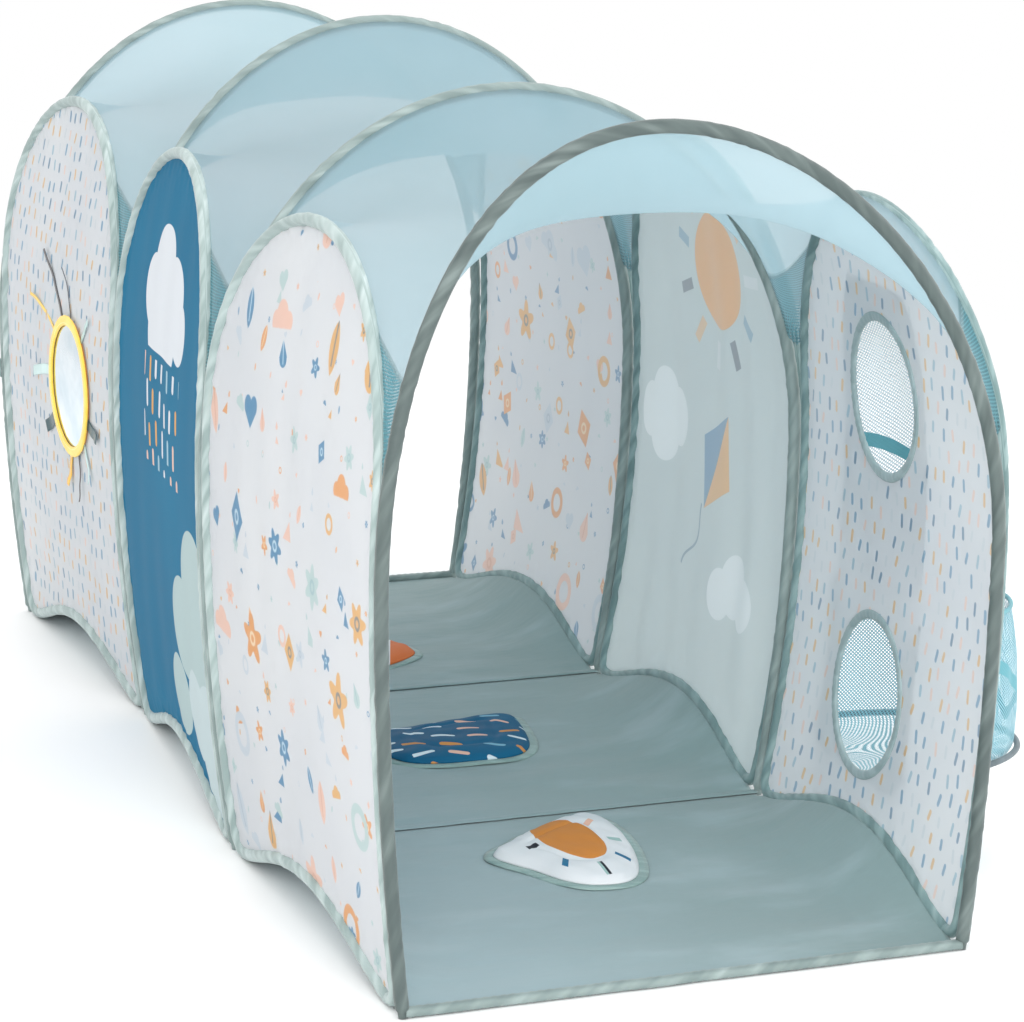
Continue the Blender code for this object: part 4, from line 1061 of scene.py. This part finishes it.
# A half oval round the basket, from panel to panel, at a height
def basketEdge(half, depth, z):
    turns = np.linspace(0, math.pi, 60)
    y = windows["y"] - half * np.cos(turns)
    return panelAt(1, 1, y, z, tunnel["trimOff"] + depth * np.sin(turns) ** netCut["roundness"])


basket = netCut["basket"]
edge = basketEdge(basket["half"] * 0.94, basket["depth"] * 0.86, basket["top"] + 0.0036)
basketTrim = smallTube("basketTrim", edge, 0.003)
dress(basketTrim, tealTape, "panel_right_1", "teal_trim", "basket_trim")
foldUp(basketTrim)
clear = rimCut["netThickness"] + rimCut["gap"] + rimCut["radius"]
edge = basketEdge(basket["half"] + clear, basket["depth"] + clear, rimCut["height"])
edge[[0, -1], 0] += 2 * rimCut["radius"]
rimSleeve = smallTube("basketRimSleeve", edge, rimCut["radius"], gather=0.06)
dress(rimSleeve, darkSleeve, "basket", "dark_sleeve", "basket_rim_sleeve")
print("ball game netted")


# Sun mirror on the third left panel
ribbons = (  # degrees, length and width by the mirror's radius, how far the tip hangs to one side, colour
    (3, 1.05, 0.18, -0.020, tint(200, 228, 226)), (40, 1.45, 0.07, -0.055, tint(250, 208, 74)),
    (66, 1.40, 0.08, -0.060, tint(48, 42, 46)), (93, 0.75, 0.04, -0.045, tint(70, 74, 84)),
    (130, 0.62, 0.08, 0.008, tint(190, 220, 218)), (204, 0.60, 0.20, -0.012, tint(28, 76, 84)),
    (230, 0.62, 0.09, 0.012, tint(200, 228, 226)), (252, 0.75, 0.05, 0.028, tint(58, 48, 54)),
    (276, 0.62, 0.13, 0.014, tint(246, 190, 52)), (326, 0.62, 0.22, 0.004, tint(20, 72, 80)),
)


# A place on the third left panel, by distance and turn from the mirror's middle.
def mirrorAt(radius, turn, off, beside=0.0):
    along = radius * np.cos(turn) - beside * np.sin(turn)
    up = radius * np.sin(turn) + beside * np.cos(turn)
    return panelAt(3, -1, mirrorCut["y"] + along, mirrorCut["z"] + up, off)


turns = around(96)[None]
low = tunnel["trimOff"] + mirrorCut["thickness"] + mirrorCut["gap"]
share = np.concatenate(([0.0], np.linspace(0.1, 1, 18)))[:, None]
dome = low + mirrorCut["rim"] + mirrorCut["dome"] * (1 - share ** 6)
mirrorDisc = surface("mirrorDisc", mirrorAt(mirrorCut["radius"] * share, turns, dome), closeColumns=True, weld=True,
                     face=(-1, 0, 0))
mirrorFilm = Paint("mirror film", Metallic=1.0, Roughness=0.07, Base_Color=tint(206, 220, 228))
ripple = mirrorFilm.noise(mirrorFilm.place(), 16.0, 2.0)
mirrorFilm.set(Base_Color=ripple.step(0.3, 0.7).blend(tint(196, 214, 224), tint(222, 232, 238)),
               Roughness=ripple * 0.06 + 0.04)
mirrorFilm.bump((ripple, 0.004, 0.3))
dress(mirrorDisc, mirrorFilm, "panel_left_3", "mirror_film", "mirror_disc")

yellowFelt = Paint("yellow felt", Roughness=0.85, Sheen_Weight=0.4)
fuzz = yellowFelt.noise(yellowFelt.place(), 420.0, 3.0)
patchy = yellowFelt.noise(yellowFelt.place(), 30.0, 3.0)
u, v, _ = yellowFelt.uv().parts()
stitch = (abs(v - 0.004) < 0.0007) * ((u * (1 / 0.005)).fract() < 0.6)
yellow = patchy.step(0.3, 0.7).blend(tint(248, 208, 70), tint(254, 220, 96))
yellow = (fuzz * 0.2).blend(yellow, tint(230, 182, 56))
yellowFelt.set(Base_Color=(stitch * 0.7).blend(yellow, tint(252, 236, 170)))
yellowFelt.bump((fuzz, 0.0006, 0.6), (stitch, 0.0008, -0.5))
section = around(20)[:, None]
middle, half = (mirrorCut["ringOut"] + mirrorCut["radius"]) / 2, (mirrorCut["ringOut"] - mirrorCut["radius"]) / 2
wide = middle + half * squarer(np.cos(section), 0.7) * (1 + 0.04 * np.cos(turns * 31))
tall = low + mirrorCut["ringMiddle"] + mirrorCut["ringHalf"] * squarer(np.sin(section), 0.7)
ring = surface("mirrorRing", mirrorAt(wide, turns, tall), spread(turns * middle, wide - mirrorCut["radius"]),
               closeRows=True, closeColumns=True)
dress(ring, yellowFelt, "panel_left_3", "yellow_felt", "mirror_ring")

share = np.array((0.86, 0.93, 0.985, 1.0, 0.985, 0.93, 0.86))[:, None]
off = tunnel["trimOff"] + np.array((0.0013, 0.0014, 0.0013, 0.0007, 0.0001, 0, 0))[:, None]
backing = surface("mirrorBacking", mirrorAt(mirrorCut["backing"] * share, turns, off), closeRows=True,
                  closeColumns=True)
dress(backing, plainTape("orange backing", tint(226, 150, 70), tint(196, 122, 52)), "panel_left_3", "orange_cloth",
      "ribbon_backing")


# A tape that lies on the panel and lifts off it a little in soft waves, its free end turned up.
def ribbon(index, degrees, lengthShare, widthShare, hang, color):
    length, half = lengthShare * mirrorCut["radius"], widthShare * mirrorCut["radius"] / 2
    share = np.linspace(0, 1, 40)[:, None]
    across = np.linspace(-1, 1, 7)[None]
    turn = math.radians(degrees)
    start = math.sqrt(mirrorCut["backing"] ** 2 - half ** 2) - 0.004
    reach = start + (length + 0.004) * share
    sway = hang * share ** 1.6
    lift = 0.0009 + (0.0016 * np.sin(share * (5 + index % 3) + index) ** 2 + 0.003 * share ** 3) * share
    points = mirrorAt(reach, turn, tunnel["trimOff"] + lift, across * half + sway)
    piece = surface(f"ribbon{index}", points, spread(length * share, half * across), face=(-1, 0, 0))
    thicken(piece, 0.0008)
    dark = tuple(channel * 0.82 for channel in color[:3]) + (1.0,)
    dress(piece, plainTape(f"ribbon tape {index}", color, dark, 0.0016, 0.4), "panel_left_3", "orange_cloth",
          "ribbon_backing")


for index, row in enumerate(ribbons):
    ribbon(index, *row)
print("mirror sewn on")


# Lift-up flaps and the patches below them. Each outline goes round by its points, across and along the tunnel
# from the flap's middle: a leaf with its tip to the left, a long cloth with rounded corners, and a broad leaf.
flaps = (
    {"x": 0.004, "y": -0.482, "crown": 0.018, "body": "hoop_2", "slot": "white_cloth", "outline": (
        (-0.094, 0.012), (-0.052, 0.056), (0.004, 0.098), (0.062, 0.130), (0.086, 0.122), (0.094, 0.080),
        (0.084, -0.006), (0.056, -0.096), (0.026, -0.132), (-0.016, -0.130), (-0.044, -0.104), (-0.066, -0.054))},
    {"x": 0.042, "y": 0.026, "crown": 0.015, "body": "hoop_2", "slot": "blue_cloth", "outline": (
        (-0.116, 0.020), (-0.094, 0.060), (-0.010, 0.078), (0.070, 0.092), (0.112, 0.092), (0.116, 0.060),
        (0.090, -0.050), (0.052, -0.094), (-0.016, -0.098), (-0.080, -0.088), (-0.110, -0.050))},
    {"x": 0.045, "y": 0.505, "crown": 0.015, "body": "hoop_3", "slot": "orange_cloth", "outline": (
        (0.103, -0.010), (0.070, -0.052), (0.010, -0.082), (-0.050, -0.070), (-0.092, -0.020), (-0.080, 0.040),
        (-0.030, 0.086), (0.030, 0.092), (0.082, 0.060))},
)
flapCut = {"low": 0.004, "gap": 0.0003, "patch": 0.0018, "border": 0.012, "half": 22, "quilt": 0.55,
           "patchTop": 0.0046, "patchThickness": 0.0014}


# A smooth closed line through a flap's points: between two of them, the four around pull it by cubic weights.
def flapOutline(flap, count=160):
    points = np.array(flap["outline"])
    ahead = np.roll(points, -1, 0)
    if ((ahead[:, 0] - points[:, 0]) * (ahead[:, 1] + points[:, 1])).sum() > 0:
        points = points[::-1]
    place = np.arange(count) * len(points) / count
    whole = place.astype(int)
    t = (place - whole)[:, None]
    before, here, after, beyond = (points[(whole + step) % len(points)] for step in (-1, 0, 1, 2))
    return 0.5 * (2 * here + (after - before) * t + (2 * before - 5 * here + 4 * after - beyond) * t ** 2
                  + (3 * here - before - 3 * after + beyond) * t ** 3)


# Rings of the outline, drawn in towards the middle by a share, or let out by a border: their x and y.
def flapRing(flap, share, border):
    line = flapOutline(flap)
    away = outFrom(line)
    return (flap[axis] + line[None, :, column] * share + away[:, column] * border
            for column, axis in enumerate("xy"))


# A flap's cloth, faintly shaded below its prints, with its weave over them
def flapPaint(name, base, shade, prints):
    paint = Paint(name, Roughness=0.6, Specular_IOR_Level=0.2)
    place = paint.place()
    x, y, _ = place.parts()
    cloudy = paint.noise(place, 8.0, 3.0)
    color = cloudy.step(0.3, 0.7).blend(shade, base)
    weave = paint.weave(x, y, 0.0008)
    color = prints(paint, x, y, color)
    color = (weave * 0.05).blend(color, tint(110, 130, 140))
    paint.set(Base_Color=color, Roughness=cloudy * 0.2 + 0.5)
    paint.bump((cloudy, 0.002, 0.3), (weave, 0.0001, 0.3))
    return paint


# An orange sun, oval along the tunnel, inside a wreath of short strokes
def sunPrints(paint, x, y, color):
    along, up = x - flaps[0]["x"] - 0.006, y - flaps[0]["y"] - 0.014
    radius = (along * along * 4.6 + up * up).root()
    spoke, tone = rays((along * 1.9).math("ARCTAN2", up), radius + 0.02, 9, 0.0, 0.43)
    hue = tone.choose((0.0, tint(36, 112, 150)), (0.3, tint(238, 190, 166)), (0.55, tint(34, 36, 46)),
                      (0.75, tint(160, 190, 186)))
    color = inside((abs(radius - 0.119) - 0.017).most(spoke - 0.0078)).blend(color, hue)
    return inside(radius - 0.084, 0.0006).blend(color, tint(214, 136, 58))


# Slanting dashes in four colours
def rainPrints(paint, x, y, color):
    mask, pick = dashes(paint, y, x, 0.038, 0.046, 31.0, 0.0038, 0.0115, 0.9, 0.25)
    hue = pick.choose((0.0, tint(224, 236, 242)), (0.4, tint(214, 148, 84)), (0.62, tint(238, 192, 172)),
                      (0.82, tint(132, 186, 208)))
    return mask.blend(color, hue)


# White, with an orange tip and one orange drop
def tipPrints(paint, x, y, color):
    along, up = x - flaps[2]["x"], y - flaps[2]["y"]
    tip = 0.068 - along + up * 0.35
    drop = ((along + 0.02) * (along + 0.02) * 2.2 + (up - 0.01) * (up - 0.01)).root() - 0.034
    return inside(tip.least(drop)).blend(color, tint(226, 120, 66))


flapPaints = (flapPaint("sun flap cloth", tint(234, 235, 237), tint(224, 227, 230), sunPrints),
              flapPaint("rain flap cloth", tint(8, 98, 136), tint(4, 88, 126), rainPrints),
              flapPaint("tipped flap cloth", tint(234, 235, 237), tint(224, 227, 230), tipPrints))
floorBinding = bindingPaint("floor sage binding", tint(150, 176, 172), tint(128, 156, 153), tint(170, 192, 189))
low = tunnel["floorThickness"] + flapCut["gap"] + flapCut["patch"] + flapCut["gap"]
for bay, flap in enumerate(flaps, 1):
    share = np.concatenate(([0.02], np.linspace(0.1, 1, 16)))[:, None]
    x, y = flapRing(flap, share, flapCut["border"] * share ** 2)
    z = flapCut["patchTop"] + 0.0004 * swell(spread(x, y, 0.0), 600 + bay, 0.06) * share
    z = z - 0.0010 * ease(share, 0.97, 1)
    patch = surface(f"floorPatch{bay}", spread(x, y, z), spread(x, y), closeColumns=True, face=(0, 0, 1))
    thicken(patch, flapCut["patchThickness"])
    dress(patch, floorBinding, flap["body"], "sage_binding", f"floor_patch_{bay}")
    area = abs((x[-1] * np.roll(y[-1], -1) - y[-1] * np.roll(x[-1], -1)).sum()) / 2

    count = flapCut["half"]
    rows = np.arange(2 * count + 1)[:, None]
    share = np.concatenate((np.linspace(0.03, 1, count), (1.0,), np.linspace(1, 0.03, count)))[:, None]
    crown = flapCut["low"] + (flap["crown"] - flapCut["low"]) * np.sqrt(np.clip(1 - share ** 3, 0, 1))
    quilt = 1 - 0.16 * np.exp(-((share - flapCut["quilt"]) / 0.05) ** 2)
    x, y = flapRing(flap, np.where(rows == count, 1.0, share * 0.985), 0)
    z = np.where(rows >= count, low + crown * quilt, low + 0.0006)
    z = np.where(rows == count, low + 0.0022, z)
    crease = swell(spread(x, y, 0.0), 620 + bay, 0.035, 10) * 0.0008 * (share < 0.98) * (rows >= count)
    pad = surface(f"floorFlap{bay}", spread(x, y, z + crease), spread(x, y), closeColumns=True, caps=True)
    dress(pad, flapPaints[bay - 1], f"flap_{bay}", flap["slot"], f"floor_flap_{bay}")
print("flaps stitched")


# Tape tab on the rear hoop: a loop pressed flat, narrowing to its folded end
tabCut = {"z": 0.390, "length": 0.030, "half": 0.015, "thickness": 0.0016}
tabX = tunnel["shifts"][3] - lowHalf(tunnel["waists"][3], tunnel["bases"][3], tabCut["z"]) - tunnel["sleeve"]
out, up = np.linspace(0, 1, 16)[:, None], np.linspace(-1, 1, 13)[None]
points = spread(tabX - tabCut["length"] * out, hoopY(4) + 0.0010 * np.sin(out * 3 + up),
                tabCut["z"] + tabCut["half"] * up * (1 - out))
tab = surface("tapeTab", points, spread(out * tabCut["length"], up * tabCut["half"]), weld=True)
thicken(tab, tabCut["thickness"])
dress(tab, paleBinding, "hoop_4", "sage_binding", "tape_tab")
print("tab folded")


# Stage, lights and camera
stageCut = {"half": 30.0, "ambient": 1.0, "fadeFrom": 1.3, "fadeTo": 3.4}
half = stageCut["half"]
ground = bpy.data.meshes.new("studioFloor")
ground.from_pydata([(-half, -half, -0.001), (half, -half, -0.001), (half, half, -0.001), (-half, half, -0.001)], [],
                   [(0, 1, 2, 3)])
studioFloor = newObject("studioFloor", ground)
stagePaint = Paint("studio floor", Roughness=0.9, Base_Color=tint(250, 250, 250))
grain = stagePaint.noise(stagePaint.place(), 4.0, 2.0)
x, y, _ = stagePaint.place().parts()
away = (x * x + (abs(y) - 0.8).most(0.0) ** 2).root()
stagePaint.set(Base_Color=grain.step(0.2, 0.8).blend(tint(250, 250, 250), tint(252, 252, 252)),
               Alpha=1 - away.step(stageCut["fadeFrom"], stageCut["fadeTo"]))
ground.materials.append(stagePaint.material)

world = bpy.data.worlds.new("studio")
bpy.context.scene.world = world
world.use_nodes = True
background = world.node_tree.nodes["Background"]
background.inputs["Color"].default_value = (1, 1, 1, 1)
background.inputs["Strength"].default_value = stageCut["ambient"]

lamps = (
    ("keyLamp", (-3.2, -4.6, 4.6), 4.0, 55.0),
    ("frontLamp", (-1.5, -5.4, 2.2), 3.0, 130.0),
    ("topLamp", (0.2, 0.8, 5.0), 5.0, 60.0),
    ("sideLamp", (4.8, -1.2, 2.4), 4.0, 100.0),
)
for name, where, size, power in lamps:
    data = bpy.data.lights.new(name, "AREA")
    data.shape, data.size, data.energy = "DISK", size, power
    lamp = newObject(name, data)
    lamp.location = where
    lamp.rotation_euler = (Vector((0, 0, 0.4)) - Vector(where)).to_track_quat("-Z", "Y").to_euler()

viewCut = {"place": (-1.6191, -4.4675, 1.4032), "azimuth": -21.069, "elevation": -12.635, "roll": 0.651,
           "lens": 127.2, "shift": (6.3 / 1024, 1.2 / 1024)}
cameraData = bpy.data.cameras.new("camera")
cameraData.sensor_width = 36.0
cameraData.lens = viewCut["lens"]
cameraData.shift_x, cameraData.shift_y = viewCut["shift"]
cameraData.clip_end = 200
camera = newObject("camera", cameraData)
azimuth, elevation, roll = (math.radians(viewCut[key]) for key in ("azimuth", "elevation", "roll"))
level = math.cos(elevation)
look = Vector((-math.sin(azimuth) * level, math.cos(azimuth) * level, math.sin(elevation)))
right = Vector((math.cos(azimuth), math.sin(azimuth), 0))
over = right.cross(look)
rolledRight = right * math.cos(roll) + over * math.sin(roll)
rolledUp = over * math.cos(roll) - right * math.sin(roll)
turn = Matrix((rolledRight, rolledUp, -look)).transposed()
camera.matrix_world = Matrix.Translation(Vector(viewCut["place"])) @ turn.to_4x4()
bpy.context.scene.camera = camera
bpy.context.scene.view_settings.view_transform = "Standard"
print("lamps and camera set")
